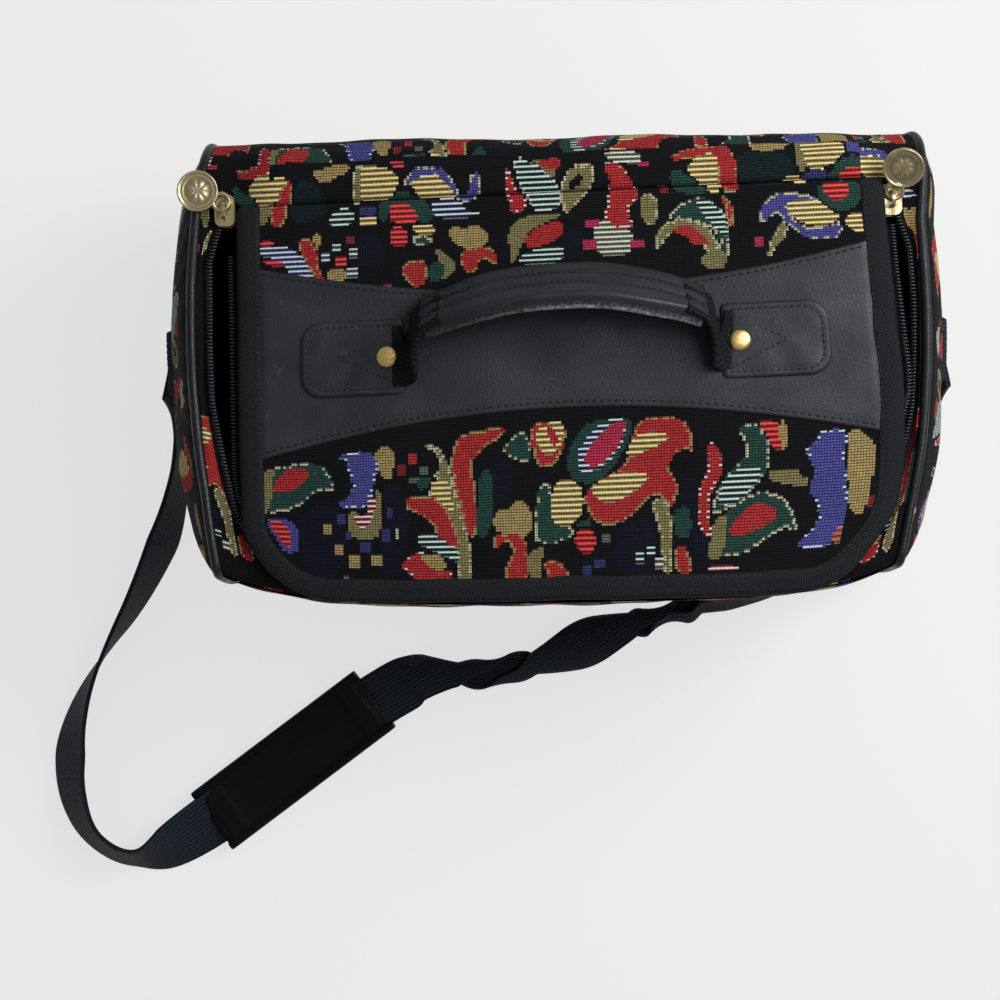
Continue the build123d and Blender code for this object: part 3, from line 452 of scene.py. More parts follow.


# ---------------------------------------------------------------- motifs
# Floral shapes of the tapestry, drawn over the lid's plan. Each row is the thread colour, the colour of the
# floats over it (- for none), the edge (c dotted, p pale ends, s square, - none) and the corners in mm. A line that
# starts with a space carries on the row above it.
MOTIFS = """
navy - - -116.4,-57.7 -98.8,-53 -95.1,-78 -102.5,-92.9 -113.6,-91 -116.4,-72.5
navy - - -80.3,-43.8 -67.3,-50.3 -69.1,-78 -76.6,-92.9 -82.1,-87.3 -78.4,-65.1
navy - - -32.1,-41 -23.8,-36.4 -22.8,-54.9 -30.2,-57.7
navy - - 23.8,-69.8 37.9,-63.7 41,-87.9 27.8,-91 19.7,-83.9
navy - - 49,-57.6 56.1,-43.5 57.1,-63.7 62.2,-75.8 59.1,-87.9 55.1,-77.8
tealdark - - -118.3,95 -108.5,93.9 -102.8,87 -101.6,77.8 -110.8,73.2 -117.7,74.3
navy - - -89,68.6 -78.6,66.3 -75.2,54.8 -83.2,50.2 -90.1,55.9
tealdark - - 80.2,99.4 102.6,98.2 105.5,88.8 103.8,82.3 83.7,81.1 79.6,88.8
navy - - 1.2,65.2 10.7,62.9 11.8,51.1 0,51.1
green - c -132.1,-37.7 -111.8,-35.4 -103.4,-38.2 -99.7,-50.3 -106.2,-47.5 -116.4,-56.7 -123.8,-59.5 -131.7,-59.5
olive - - -132.1,-38.2 -124.7,-37.5 -128.4,-43.8 -128,-52.1 -129.8,-59.5 -132,-59.5
red - - -128,-49.3 -126.1,-42.8 -120.1,-37.7 -114.5,-37.7 -110.8,-41 -116.4,-47.5 -122.9,-49.8
blue - - -131.2,-62.3 -120.1,-62.8 -116.4,-67.9 -116.4,-79 -122.9,-79.4 -125.7,-73.4 -129.4,-67.9
red pink - -130.7,-62.8 -123.3,-63.7 -120.1,-69.7 -120.1,-77.1 -122.7,-76.7 -127,-69.7
blue - p -100.6,-32.7 -83,-30.6 -81.2,-39.1 -83,-46.5 -84.9,-54 -87.7,-58.1 -97.9,-57.7 -98.8,-54.9 -94.2,-52.1
 -92.3,-46.5 -94.2,-41 -95.1,-35.4
gold - c -83,-30.3 -73.8,-29.9 -74.7,-42.8 -77.5,-45.2 -81.2,-40.1
olive - - -95.5,-59.5 -95.1,-68.8 -91.4,-72.2 -83,-72.2 -80.1,-67.9 -80.1,-49.3 -83,-48.9 -83,-57.7 -87.7,-62.3
 -91.4,-59.1
red white - -92.3,-59.5 -91.4,-66.9 -86.7,-67.1 -82.9,-60.4 -82.9,-51.2 -85.6,-52.1 -85.8,-58.6 -88.6,-62.3
red - s -68.2,-32.7 -64.1,-32.7 -64.1,-37.7 -68.2,-37.7
redd - s -72.9,-37.7 -68.7,-37.7 -68.7,-42.8 -72.9,-42.8
grey - s -62.7,-39.1 -59,-39.1 -59,-42.8 -62.7,-42.8
grey - s -67.8,-43.8 -63.6,-43.8 -63.6,-47.2 -67.8,-47.2
blued - s -77.9,-57.2 -74.7,-57.2 -74.7,-62.3 -77.9,-62.3
blued - s -99.7,-60 -96.5,-60 -96.5,-65.1 -99.7,-65.1
gold - s -105.3,-65.1 -101.8,-65.1 -101.8,-70.2 -105.3,-70.2
blued - s -96.5,-68.3 -93,-68.3 -93,-72.7 -96.5,-72.7
blued - s -80.3,-67.9 -76.6,-67.9 -76.6,-73.4 -80.3,-73.4
cream - s -74.2,-67.4 -72.2,-67.4 -72.2,-72.5 -74.2,-72.5
blued - s -89.5,-73.4 -85.4,-73.4 -85.4,-77.8 -89.5,-77.8
gold - s -101.1,-75.3 -97.7,-75.3 -97.7,-80.1 -101.1,-80.1
gold - s -94.2,-79.4 -89.8,-79.4 -89.8,-85.2 -94.2,-85.2
gold - s -84.4,-79 -80.7,-79 -80.7,-84.2 -84.4,-84.2
grey - s -97.4,-89.2 -94.3,-89.2 -94.3,-93.8 -97.4,-93.8
olive - c -63.6,-28.9 -53.4,-30.8 -48.8,-43.8 -46,-57.7 -41.4,-72.5 -40.9,-94 -47.1,-94 -46.9,-78 -51.5,-65.1
 -54.3,-56.7 -60.8,-51.2 -54.3,-45.6 -58,-43.8 -53.4,-40.1 -56.2,-32.7
gold pale - -60.3,-48.9 -54.3,-45.2 -50.2,-46.5 -48.8,-56.7 -48.8,-62.3 -53.4,-57.7
red - c -46,-25.2 -24.7,-23.2 -25.4,-27.1 -37.7,-33.6 -40.4,-40.1 -38.6,-50.3 -37.5,-68.8 -40.4,-72.9 -44.1,-68.8
 -46,-57.7 -48.8,-45.6 -49.7,-36.4
red - c -69.6,-53 -58,-51.9 -50.6,-59.5 -46.9,-68.8 -46,-77.3 -51.5,-77.3 -56.2,-70.6 -58,-65.1 -63.6,-60.4
 -69.6,-58.6
green - - -63.6,-43.8 -57.1,-43.8 -59.9,-49.3 -64.5,-50.3
green white - -63.6,-70.6 -59.9,-68.8 -54.3,-72.5 -46.5,-78 -46.5,-83.6 -52.5,-80.8 -65.4,-74.3
red - p -72.9,-83.8 -66.4,-79 -61.7,-78.3 -60.3,-83.6 -55.3,-87.3 -49.7,-85.9 -48.6,-93 -54.3,-95.5 -63.6,-94.9
 -67.3,-88.4
gold - - -64.5,-79.9 -54.3,-79 -51.5,-85.9 -55.7,-87.3 -60.8,-84.5
green - - -37.5,-43.8 -31.2,-40.8 -31.2,-65.1 -33.9,-70.6 -38.6,-73.9 -38,-59.5
cream white - -78.4,-91.5 -64.5,-92.4 -64.5,-95.2 -82.1,-94.7
gold - c -30.7,-60.4 -22.8,-59.5 -21.9,-56.3 -17.3,-56.3 -13.6,-63.2 -14.5,-72.9 -31.2,-70.8
red - c -31.6,-77.3 -31.2,-71.6 -23.8,-70 -17.1,-72.5 -15.2,-87.3 -17.3,-93.6 -25.6,-93.4 -26.5,-86.4 -22.8,-80.8
 -23.8,-74.5 -27.5,-74.5 -29.3,-78.2
green - c -26.5,-31.7 -15.4,-23.2 -13.4,-40.2 -21.9,-38.2 -26.5,-34.7
olive - - -17.3,-81.7 -13.6,-78 -8,-77.1 -10.8,-83.6 -9.9,-91.9 -15.4,-91.9
red - c -14.6,-22.3 1.6,-22.1 0.8,-33.4 -4.5,-42.7 -11.6,-41.5 -14.1,-32.4
gold pale - -13.1,-26.3 -4.5,-22.1 0.8,-22.3 -0.5,-32.4 -5.5,-37.9 -10.6,-34.9
red - - -7.5,-22.8 -3.5,-25.3 -2,-31.4 -4.5,-33.4 -6.5,-28.4
green - c -10.6,-50.6 -5.5,-47.5 -4.5,-63.7 4.6,-69.8 2.6,-75 -11.1,-75.8 -13.6,-73.8 -12.6,-58.7
gold pale - -4.5,-49.8 0.6,-46.5 7.8,-50.6 8.8,-61.7 3.6,-68.6 -4.5,-67.9 -6,-59.7
red - c 30.9,-22.5 50,-21.8 55.1,-29.4 55.9,-38.7 52.1,-36.4 46,-39.7 45.6,-46.5 49.2,-50.8 48.2,-60.9 44,-60.9
 42,-55.6 36.9,-56.8 31.9,-61.9 24.8,-68.3 14.7,-68.3 10.7,-62.9 8.4,-53.6 19.7,-46.5 25.8,-43.5 29.8,-35.4
gold pale - 31.4,-28.4 47,-29.4 42,-34.6 33.9,-37.6 26.3,-40
gold pale - 10.5,-52.6 21.8,-45.3 38.4,-46.5 33.9,-51.8 25.8,-57.8 16.7,-58.9
green - - 12.7,-22.5 30,-21.7 30,-28.4 24,-40.5 15.7,-49.8 5.6,-49.8 1.4,-43.5 2.4,-34.4 7.6,-26.3
blued white - 17.7,-22.8 28,-22.3 27,-30.4 22,-39.5 12.7,-45.7 6.4,-44.7 5.8,-36.4 11.7,-28.4
redp - - 23.8,-22.8 27.4,-23.3 26,-31.4 19.9,-39.7 13.7,-43.3 9.4,-41.7 9.6,-36.4 15.9,-28.4
red pink - 4.6,-71.8 8.6,-68.6 13.2,-71.8 13.9,-77.8 9.6,-81.6 4.6,-77.8
green - - 3.6,-68.3 11.2,-64.5 12.5,-69 8.1,-68.6
red - c -9,-82.9 -3.5,-82.7 1.3,-87.9 1.3,-93.2 -5.5,-93.2 -9,-87.9
olive - c 36.9,-58.7 43,-57.6 46,-61.7 47.2,-73.8 47.2,-90.2 43,-90.2 42,-73.8 38.9,-63.7
green - - 47.2,-62.7 54.1,-60.7 55.3,-73.8 50,-76 47.2,-69.8
red - c 47.8,-78.4 52.1,-77.6 55.3,-83.9 55.8,-90.7 48.5,-90.7
red - p 61.2,-34.7 64.7,-34.7 68.9,-44.5 65.4,-51.6 62.4,-58.7 62.4,-67.7 64.9,-75.5 60.1,-74 56.9,-65.7 58.1,-53.6
 61.7,-46.5
green - c 73.6,-28.4 80.3,-26.1 86.6,-32.4 87.6,-45.5 83.6,-51.6 76.3,-60.9 68.2,-63.9 64,-65.9 64,-58.7 68.2,-50.6
 75.3,-43.5 78.9,-38.5
green white - 70.2,-48 82.4,-45.3 83.9,-49.6 75.3,-60.7 65.7,-62.7 66.2,-55.6
red pink - 81.2,-26.1 91.5,-26.1 93.5,-39.7 88.9,-39.7 86.2,-32.4
gold - - 91,-26.1 94.2,-26.5 94.2,-39.7 91.5,-39.7
olive - - 85.9,-47.5 98.5,-47.3 99.7,-50.4 103.8,-52.4 102.8,-55.8 87.4,-52.8
green - c 69.2,-64.5 80.3,-56.4 90.5,-57.4 96.5,-62.7 101.8,-75 94.5,-71.8 86.4,-77.8 78.3,-83.1 69.2,-83.1 62.2,-86.1
 64,-73.8
olive - - 64,-68.3 69.7,-64.7 70.2,-73.8 69.2,-82.9 62.4,-86.1
red - - 70,-74.5 73.3,-67.7 80.3,-61.5 86.4,-61.5 92.9,-66.2 86.4,-71.5 78.3,-74.5
red white - 59.9,-89.7 66.2,-86.2 73.5,-86.9 77.5,-90
blue - p 108.6,-31.4 118.7,-31.4 117.7,-43.5 118.7,-55.6 122,-66.7 119.9,-73.8 115.7,-82.1 102.6,-82.1 101.6,-77.8
 108.6,-72.8 108.6,-63.7 102.4,-56.6 106.6,-48.6 100.6,-40.5 105.6,-36.4
gold - c 118.9,-31.9 125.8,-32.4 131.1,-39.5 131.1,-49.6 129,-69 124.8,-69 120.8,-61.7 118.9,-51.6 118.4,-39.5
olive pink - 116.9,-73.8 120.8,-72.8 122.3,-77.8 119.7,-81.1 116.5,-80.4
red - s 135.9,-55.6 139.9,-55.6 139.9,-60.7 135.9,-60.7
redd - s 130.3,-60.7 134.9,-60.7 134.9,-65.9 130.3,-65.9
navy - s 129.8,-52.6 134.1,-52.6 134.1,-57.6 129.8,-57.6
grey - s 15.9,-72 19.9,-72 19.9,-76.5 15.9,-76.5
blued - s 13.2,-82.7 16.9,-82.7 16.9,-87.4 13.2,-87.4
blued - s 7.6,-85.4 11.5,-85.4 11.5,-90.5 7.6,-90.5
red pink s 134.9,-35.4 142,-35.4 142,-43.5 134.9,-43.5
green white s 31.1,-80.7 34.7,-80.7 34.7,-85.4 31.1,-85.4
green white s 36.4,-77.8 39.6,-77.8 39.6,-82.4 36.4,-82.4
olive white s 39.9,-83.4 42.7,-83.4 42.7,-88.5 39.9,-88.5
red - c -147.6,96.8 -133.8,97.6 -136.1,92.5 -144.2,90.8
gold pale - -140.7,89.1 -132.7,95 -120,96.4 -122.3,88.1 -131.5,85 -139.6,85.6
red - c -123.5,93.9 -118.6,95.3 -119.3,72.9 -127.2,72.5 -126.2,84.7
olive - - -132.7,85 -126.7,87 -126.9,72.9 -139.4,75.3 -136.1,81.2
green white - -150.5,83.5 -140.7,88.1 -138.4,78.9 -141.9,77.8 -149.9,81.2
gold - - -110.8,100.2 -92.2,101 -92.2,97.6 -99.9,95.3 -102.8,92.7 -108.5,94.4
olive - c -91.3,99.6 -84.4,99.9 -86.7,81.2 -91.3,82.4
gold pale - -87.6,98.5 -84.4,99.9 -71.5,97.6 -70.1,89.3 -78,82.2 -87.6,82.2
blue - c -69.6,90.2 -64.8,97.6 -56.7,99.3 -49.6,96.2 -45,89.9 -42.7,83.3 -38.3,87 -38.9,94.1 -32.9,94.6 -33.5,84.5
 -39.5,79.3 -46.4,82.7 -52.1,93.7 -60.2,93.7 -64.8,89.1
gold pale - -64.6,92.7 -60.2,94.5 -52.1,93.9 -46.2,87 -43.6,82.7 -60.2,82.7 -63.6,88.1
blued white - -57,82.2 -42.7,82.4 -41.6,76.6 -32.1,74.1 -54.7,72.3
green - - -78.8,81.2 -74,86.4 -67.1,87.8 -60,84.7 -55.9,77.8 -55.4,71.8 -61.3,71.8 -63.6,78.7 -69.4,81.6 -74.6,78.7
 -75.2,72.9 -79.4,74.1
red pink - -74.6,80.4 -69.4,82.2 -63.6,78.7 -61.1,71.8 -74.2,71.8
blued - - -87.6,80.3 -79.8,81.2 -79.8,75.5 -87.6,75.9
gold pale - -87.6,75.5 -79.8,75.7 -79.8,71.5 -88.4,71.5
green white - -99.3,79.2 -90.1,80.3 -90.1,71.5 -101.6,71.5
red - p -23.4,96.2 -20.8,95.3 -18.5,87 -13.9,78.9 -16.2,74.1 -21.1,74.1 -22.9,84.7
green white c -19.9,99.6 -14.2,101 0.8,89.3 1.9,75.5 -11.9,75.3 -16.5,87
olive - - -11.9,100.8 -3.8,99.6 0.8,90.4 -5,92.7
blue white - -131.5,64.2 -117.7,63.1 -111.7,55.9 -107.1,45.3 -117.7,46.7 -121.2,55.9 -131.5,59.1
redp pink - -131.5,66.5 -125.5,66.5 -125.8,63.7 -131.5,63.7
redp pink - -131,58 -121.2,55.9 -120,53.4 -128.1,53.8
red - c -114.8,66.3 -109.7,67.7 -106,60.5 -106,52.5 -102.5,44.2 -107.4,46.5 -113.1,58.2
gold - - -108.5,68.3 -104.8,70 -105.3,58.2 -106.8,61.7
gold - - -103,50.2 -94.5,51.5 -93.3,45.3 -101.6,43
redd - s -93.6,66.9 -90.1,66.9 -90.1,62.8 -93.6,62.8
grey white s -103.9,59.4 -100.9,59.4 -100.9,55.1 -103.9,55.1
grey white s -99.3,63.4 -95.9,63.4 -95.9,59.4 -99.3,59.4
grey white s -91.8,60.5 -88.3,60.5 -88.3,56.3 -91.8,56.3
red pink s -98.2,56.5 -94,56.5 -94,51.7 -98.2,51.7
grey white s -93,50.7 -88.8,50.7 -88.8,45.9 -93,45.9
red pink - -74.8,69.7 -68.2,70.5 -65.7,65.1 -69.4,59.1 -74.2,62.6
gold pale - -65.9,70.5 -54.2,70.5 -55.4,65.1 -61.3,65.5
green - c -65.9,66.3 -55.4,64.6 -56.5,60.3 -62.5,60.3
gold - c -49.8,67.4 -45.2,70 -41.6,67.4 -37.2,70 -31.2,66.3 -31.2,59.1 -44.1,58
olive - - -54.7,60.5 -49.8,54.8 -43.9,50.2 -49.8,43 -54.7,45.6 -53.3,52.5
red - c -69.6,50.2 -65.9,53.8 -58.8,53.2 -57.1,45.6 -61.3,39.6 -67.1,41.9
green - - -57.7,51.3 -51,52.5 -50.8,43 -57.9,42.1
red - c -44.3,55.9 -39.5,58.8 -31.2,59 -26.9,53.6 -27.7,48.8 -32.3,52.2 -36,52.2 -36,46.5 -42,45.9
olive - - -22.8,71.5 -2.7,73.4 1.9,72 -11.6,67.2 -16.5,59.1 -19.7,49.9 -21.6,50.2
red - - -16.5,60.3 -9.6,67.7 1.9,69.7 1.9,61.7 -11.6,55.7
green white - -17.6,53.6 1.9,59.4 1.9,47.9 -18.8,49
redp pink - -84.6,41.9 -80.9,41 -73.8,42.9 -73.8,38.4 -83.2,39.6
redp pink - -74.6,100.8 -67.1,100.8 -67.7,98.7 -72.9,98.5
red - - -8.2,100 2.4,99.4 0,94.4 -7,95
green white - -12.9,95.9 -3.5,92.3 1.2,81.7 -1.1,74.6 -12.9,73.5
olive - c 0,82.7 4.8,94.7 9.5,96.1 16.2,96.1 16.2,86.4 9.5,79.1 2.4,70.9
black - - 4.2,84.7 7.1,91.1 11.2,92.3 10.7,87 6.5,84.7
olive white - 19.8,101.7 38,102.6 36.8,93.3 29.5,95.9 23.6,96.8
red - p 19.8,95.9 28.3,96.1 33.1,87.6 35.6,79.4 32.1,75.6 29.8,72.3 33.3,64.3 24.8,64.3 19.8,67.3 20.7,75.8 22.4,82.9
 23.6,88.8
olive - c 35.4,80.5 43.9,79.4 42.7,65 37.8,65 35.4,72.3
olive white - 14.8,67.6 21.3,69.3 24.8,64 32.1,63.8 32.1,50.8 15.1,50.8
redp - s 11.8,68.7 17.3,68.7 17.3,65 11.8,65
redp - s 10.7,59.3 16.5,59.3 16.5,55 10.7,55
redp - s 30.9,58.7 36.6,58.7 36.6,54.4 30.9,54.4
redp - s 35.4,96.4 40.4,96.4 40.4,93.3 35.4,93.3
redd - s 44.8,85.2 48.4,85.2 48.4,80.5 44.8,80.5
grey white s 50.7,85.8 54.9,85.8 54.9,81.9 50.7,81.9
red - c 48.4,97.6 60.2,103.2 74.3,103.2 79.3,98.2 79.8,79.1 70.8,78.5 72.2,92.3 65.1,98.8 57.8,95
gold pale - 56.4,90.9 61.3,97 69.8,100.6 72.2,92.3 70.8,79.1 66.1,79.1 60.4,88.8
green - - 49.6,92.3 56.6,90.6 64.9,82.3 64.9,79.1 55.4,79.1 50.1,81.7
gold - - 83.7,104.1 104,104.3 102.8,100.3 95.5,98.8 88.4,99.2
olive - - 105.5,102.9 109.1,104.1 112,88.8 107.3,88.2
gold pale - 108.8,104.7 128.8,102.9 128.8,95.6 119.3,89.1 112,88.5 109.2,98.2
blue - - 129.1,103.2 136.2,102.2 136.2,95.6 129.7,95.6
gold pale - 100.8,86.4 108.5,87 108.5,81.7 101.4,81.7
blued - - 109.1,87.6 120.3,89.4 120.9,83.5 108.5,81.7
green - - 120.9,85.8 125,92.6 132.3,94.9 139.4,92.3 142.7,84.7 121.5,82.7
red pink - 125.3,87.4 133.5,90 140,86.4 140,84.7 125.9,83.2
red - c 70.8,78.2 75.5,75.2 76.4,62.6 73.5,62.6 72.5,71.1
green - c 55.4,77 64.9,77.8 72.2,69.9 74.5,58.1 72.2,42.6 60.2,43.8 70.8,53.4 67.2,62.9 55.4,67.6 44.8,67.6
green white - 57.8,76.4 64.9,77 71.9,69.3 73.7,58.1 70.8,58.1 66.1,65.2
olive - c 41.3,52.2 42.2,62.9 50.7,68.5 60.2,67 67.2,60.5 69.6,51.1 64.9,46.4 62.5,55.8 55.4,62.9 48.4,61.7 44.8,55.8
red - - 47.2,62.6 56.6,65.2 63.9,58.1 65.1,53.7 58,54.4 55.4,59.3
olive - - 60.2,48.7 71.9,53.4 72.5,42.2 62.5,42.8
blue - c 86.1,68.5 90.8,75.8 97.9,78.4 111.1,75.8 113.4,72.3 97.9,73.5 101.4,65.2 107.3,60.3 116.7,60.3 121.5,64.3
 124,58.1 119.1,53.8 108.5,54.4 100.2,60.3 94.3,69.9 88.4,62.6
gold pale - 96.5,72.9 112,74.6 119.3,66.4 124,66.4 120.5,62.6 112,60.3 102.6,63.8
green - - 110.8,75.8 114.4,81.7 131.1,82.3 132.9,74.6 128.8,68.5 120.3,67.3
red pink - 113,80.5 125,82.2 128.8,78.2 124,72 117.7,73.2
gold pale - 125,66.2 134.7,67.6 134.7,56.7 125.6,58.1
olive - c 89.4,47.3 92,57 97.9,66.4 99.3,58.1 93.4,52.2 91,46.1
redp - s 84.7,57.5 88.7,57.5 88.7,52.6 84.7,52.6
"""


# ---------------------------------------------------------------- tapestry pattern
COLOURS = {
    "black": (14, 14, 18), "navy": (15, 19, 34), "tealdark": (15, 32, 36), "red": (172, 46, 48),
    "redd": (128, 38, 46), "redp": (176, 48, 74), "gold": (162, 140, 90), "olive": (128, 120, 80),
    "green": (36, 68, 60), "blue": (74, 74, 142), "blued": (54, 56, 104), "cream": (188, 184, 152),
    "grey": (92, 100, 100), "pale": (224, 204, 140), "white": (190, 204, 200), "pink": (216, 74, 72),
}
COLOUR_NAMES = list(COLOURS)
PALETTE = np.array([lin(*COLOURS[k]) for k in COLOUR_NAMES])
CLOTH_LOW, CLOTH_HIGH = np.array([-135.0, -104.0]), np.array([137.0, 104.0])


def rounded(points, times=2):
    p = points
    for _ in range(times):
        q = np.roll(p, -1, 0)
        p = np.stack([0.75 * p + 0.25 * q, 0.25 * p + 0.75 * q], 1).reshape(-1, 2)
    return p


def inside(points, x, y):
    hit = np.zeros(x.shape, bool)
    for (x0, y0), (x1, y1) in zip(points, np.roll(points, -1, 0)):
        if y0 != y1:
            hit ^= ((y0 > y) != (y1 > y)) & (x < (x1 - x0) * (y - y0) / (y1 - y0) + x0)
    return hit


def weave_pattern():
    """Colour of each cell of the cloth under the lid's outline: thread, float colour and whether it has floats."""
    n = np.ceil((CLOTH_HIGH - CLOTH_LOW) / CELL).astype(int)
    x = CLOTH_LOW[0] + (np.arange(n[0]) + 0.5) * CELL
    y = CLOTH_LOW[1] + (np.arange(n[1]) + 0.5) * CELL
    x, y = np.meshgrid(x, y, indexing="ij")
    thread = np.zeros(n, int)
    floats = np.full(n, -1)
    rs = np.random.RandomState(3)
    speck = rs.rand(*n)
    for row in MOTIFS.strip().replace("\n ", " ").splitlines():
        colour, stripe, edge, *pairs = row.split()
        pts = np.array([[float(c) for c in p.split(",")] for p in pairs])
        hit = inside(pts if edge == "s" else rounded(pts), x, y)
        thread[hit] = COLOUR_NAMES.index(colour)
        floats[hit] = -1 if stripe == "-" else COLOUR_NAMES.index(stripe)
        if edge in "cp":
            core = hit.copy()
            for axis in (0, 1):
                for d in (1, -1):
                    core &= np.roll(hit, d, axis)
            rim = hit & ~core
            if edge == "c":
                thread[rim & (speck < 0.62)] = COLOUR_NAMES.index("cream" if colour not in ("red", "gold") else "gold")
            else:
                floats[rim & (speck < 0.6)] = COLOUR_NAMES.index("white")
    return thread, floats


THREAD_AT, FLOAT_AT = weave_pattern()


def cloth_cell(u, v, lid=False):
    """Pattern cell at a place on the cloth, in mm. Away from the lid the cloth repeats."""
    if not lid:
        u = np.where((u < -131) | (u > 135), (u + 131) % 198 - 131, u)
        low, joint, skip, tall = -101.0, -20.0, 55.0, 149.0
        far = (v < low) | (v > 103)
        w = (v - low) % tall + low
        v = np.where(far, np.where(w > joint, w + skip, w), v)
    i = np.clip(((u - CLOTH_LOW[0]) / CELL).astype(int), 0, THREAD_AT.shape[0] - 1)
    j = np.clip(((v - CLOTH_LOW[1]) / CELL).astype(int), 0, THREAD_AT.shape[1] - 1)
    return THREAD_AT[i, j], FLOAT_AT[i, j]


def cloth(name, P, U, V, keep=None, lid=False, flip=False, shift=(0.0, 0.0)):
    """Tapestry panel from a grid of points P (mm), with its place on the cloth U, V at each point."""
    m, n = P.shape[:2]
    uc = (U[:-1, :-1] + U[1:, 1:]) / 2 + shift[0]
    vc = (V[:-1, :-1] + V[1:, 1:]) / 2 + shift[1]
    thread, floats = cloth_cell(uc, vc, lid)
    keep = np.ones((m - 1, n - 1), bool) if keep is None else keep
    faces = grid_faces(m, n, keep)
    if flip:
        faces = faces[:, ::-1]
    uv = np.stack([U, V], -1).reshape(-1, 2) / CELL
    verts, faces, uv = tidy_faces(P.reshape(-1, 3), faces, uv)
    ob = add_mesh(name, verts, faces, TAPESTRY, uv)
    t, f = thread[keep], floats[keep]
    rs = np.random.RandomState(len(name) + 11)
    vary = rs.uniform(0.82, 1.14, (len(t), 1))
    a = PALETTE[t] * vary
    b = np.where(f[:, None] >= 0, PALETTE[np.maximum(f, 0)], a)
    me = ob.data
    for label, value in (("thread", a), ("float", b)):
        rgba = np.ones((len(t), 4), np.float32)
        rgba[:, :3] = value
        me.color_attributes.new(label, "FLOAT_COLOR", "CORNER").data.foreach_set("color", np.repeat(rgba, 4, 0).ravel())
    me.attributes.new("floats", "FLOAT", "FACE").data.foreach_set("value", (f >= 0).astype(np.float32))
    return ob


# ---------------------------------------------------------------- case outline, seen from an end
HEIGHT, HALF_WRAP, END_X, BULGE = 157.0, 162.3, 166.7, 13.0
SEAT = 2.2  # how far the edge of an end panel sinks behind its piping


def side_line(inset, base_r, top_r, n=70):
    """Half outline (y, z) from the base up to the top, with y outward."""
    hb, hm, ht, lo, hi = 96 - inset, 107.25 - inset, 102.5 - inset, inset, HEIGHT - inset
    (x1, z1), (x2, z2), (x3, z3) = (hb, lo), (hm, HEIGHT / 2), (ht, hi)
    d = 2 * (x1 * (z2 - z3) + x2 * (z3 - z1) + x3 * (z1 - z2))
    q1, q2, q3 = x1 * x1 + z1 * z1, x2 * x2 + z2 * z2, x3 * x3 + z3 * z3
    cx = (q1 * (z2 - z3) + q2 * (z3 - z1) + q3 * (z1 - z2)) / d
    cz = (q1 * (x3 - x2) + q2 * (x1 - x3) + q3 * (x2 - x1)) / d
    R = math.hypot(x1 - cx, z1 - cz)
    low_y = cx + math.sqrt((R - base_r) ** 2 - (lo + base_r - cz) ** 2)
    top_y = cx + math.sqrt((R - top_r) ** 2 - (hi - top_r - cz) ** 2)
    a0 = math.atan2(lo + base_r - cz, low_y - cx)
    a1 = math.atan2(hi - top_r - cz, top_y - cx)
    foot = np.linspace(-PI / 2, a0, 16)
    head = np.linspace(a1, PI / 2, 24)
    mid = np.linspace(a0, a1, n)
    return np.concatenate([
        np.stack([low_y + base_r * np.cos(foot), lo + base_r + base_r * np.sin(foot)], 1),
        np.stack([cx + R * np.cos(mid), cz + R * np.sin(mid)], 1)[1:-1],
        np.stack([top_y + top_r * np.cos(head), hi - top_r + top_r * np.sin(head)], 1),
    ])


def outline(inset, growth):
    """Closed outline (y, z), from the front of the base round the back to the front again."""
    back = side_line(inset, 14 + growth, 24 + growth)
    front = side_line(inset, 14 + growth, 6 + growth)
    front = front * [-1, 1]
    return np.concatenate([back, front[::-1]])


OUTLINE = even(np.concatenate([outline(0, 0), outline(0, 0)[:1]]), 2.0)[:-1]


def edge_distance(y, z, ring):
    """Distance inside a closed line (negative outside) and the nearest point on it."""
    p = np.stack([y.ravel(), z.ravel()], 1)
    best = np.full(len(p), 1e9)
    near = np.zeros_like(p)
    for a, b in zip(ring, np.roll(ring, -1, 0)):
        ab = b - a
        t = np.clip(((p - a) @ ab) / (ab @ ab), 0, 1)
        q = a + t[:, None] * ab
        d = np.hypot(*(p - q).T)
        closer = d < best
        best[closer] = d[closer]
        near[closer] = q[closer]
    sign = np.where(inside(ring, p[:, 0], p[:, 1]), 1, -1)
    return (best * sign).reshape(y.shape), near.reshape(y.shape + (2,))


def trimmed(x, y, ring):
    """Distance inside a closed line, the cells that reach inside it, and the grid with its outer points on it."""
    d, near = edge_distance(x, y, ring)
    return d, any_corner(d > 0), np.where(d < 0, near[..., 0], x), np.where(d < 0, near[..., 1], y)


def end_rise(d):
    """How far the end panel stands out at a distance inside its edge."""
    inset = [0, 1, 3, 6, 11, 17, 25, 34, 44, 60]
    return BULGE * np.interp(d, inset, [0, 0.1, 0.22, 0.34, 0.48, 0.63, 0.78, 0.9, 0.97, 1.0])


# ---------------------------------------------------------------- case
def lid_height(x, y):
    """Top of the lid's cloth: foam backed, a little crowned, with soft hollows."""
    crown = np.clip(1 - (x / 150) ** 2, 0, 1) * np.clip(1 - ((y + 10) / 105) ** 2, 0, 1)
    soft = 0.45 * wave(x, y, 62, 5) + 0.18 * wave(x, y, 24, 6)
    crease = -1.3 * np.exp(-np.abs(82.1 - y) / 2.2)
    return 161.9 + 1.0 * crown + soft + crease


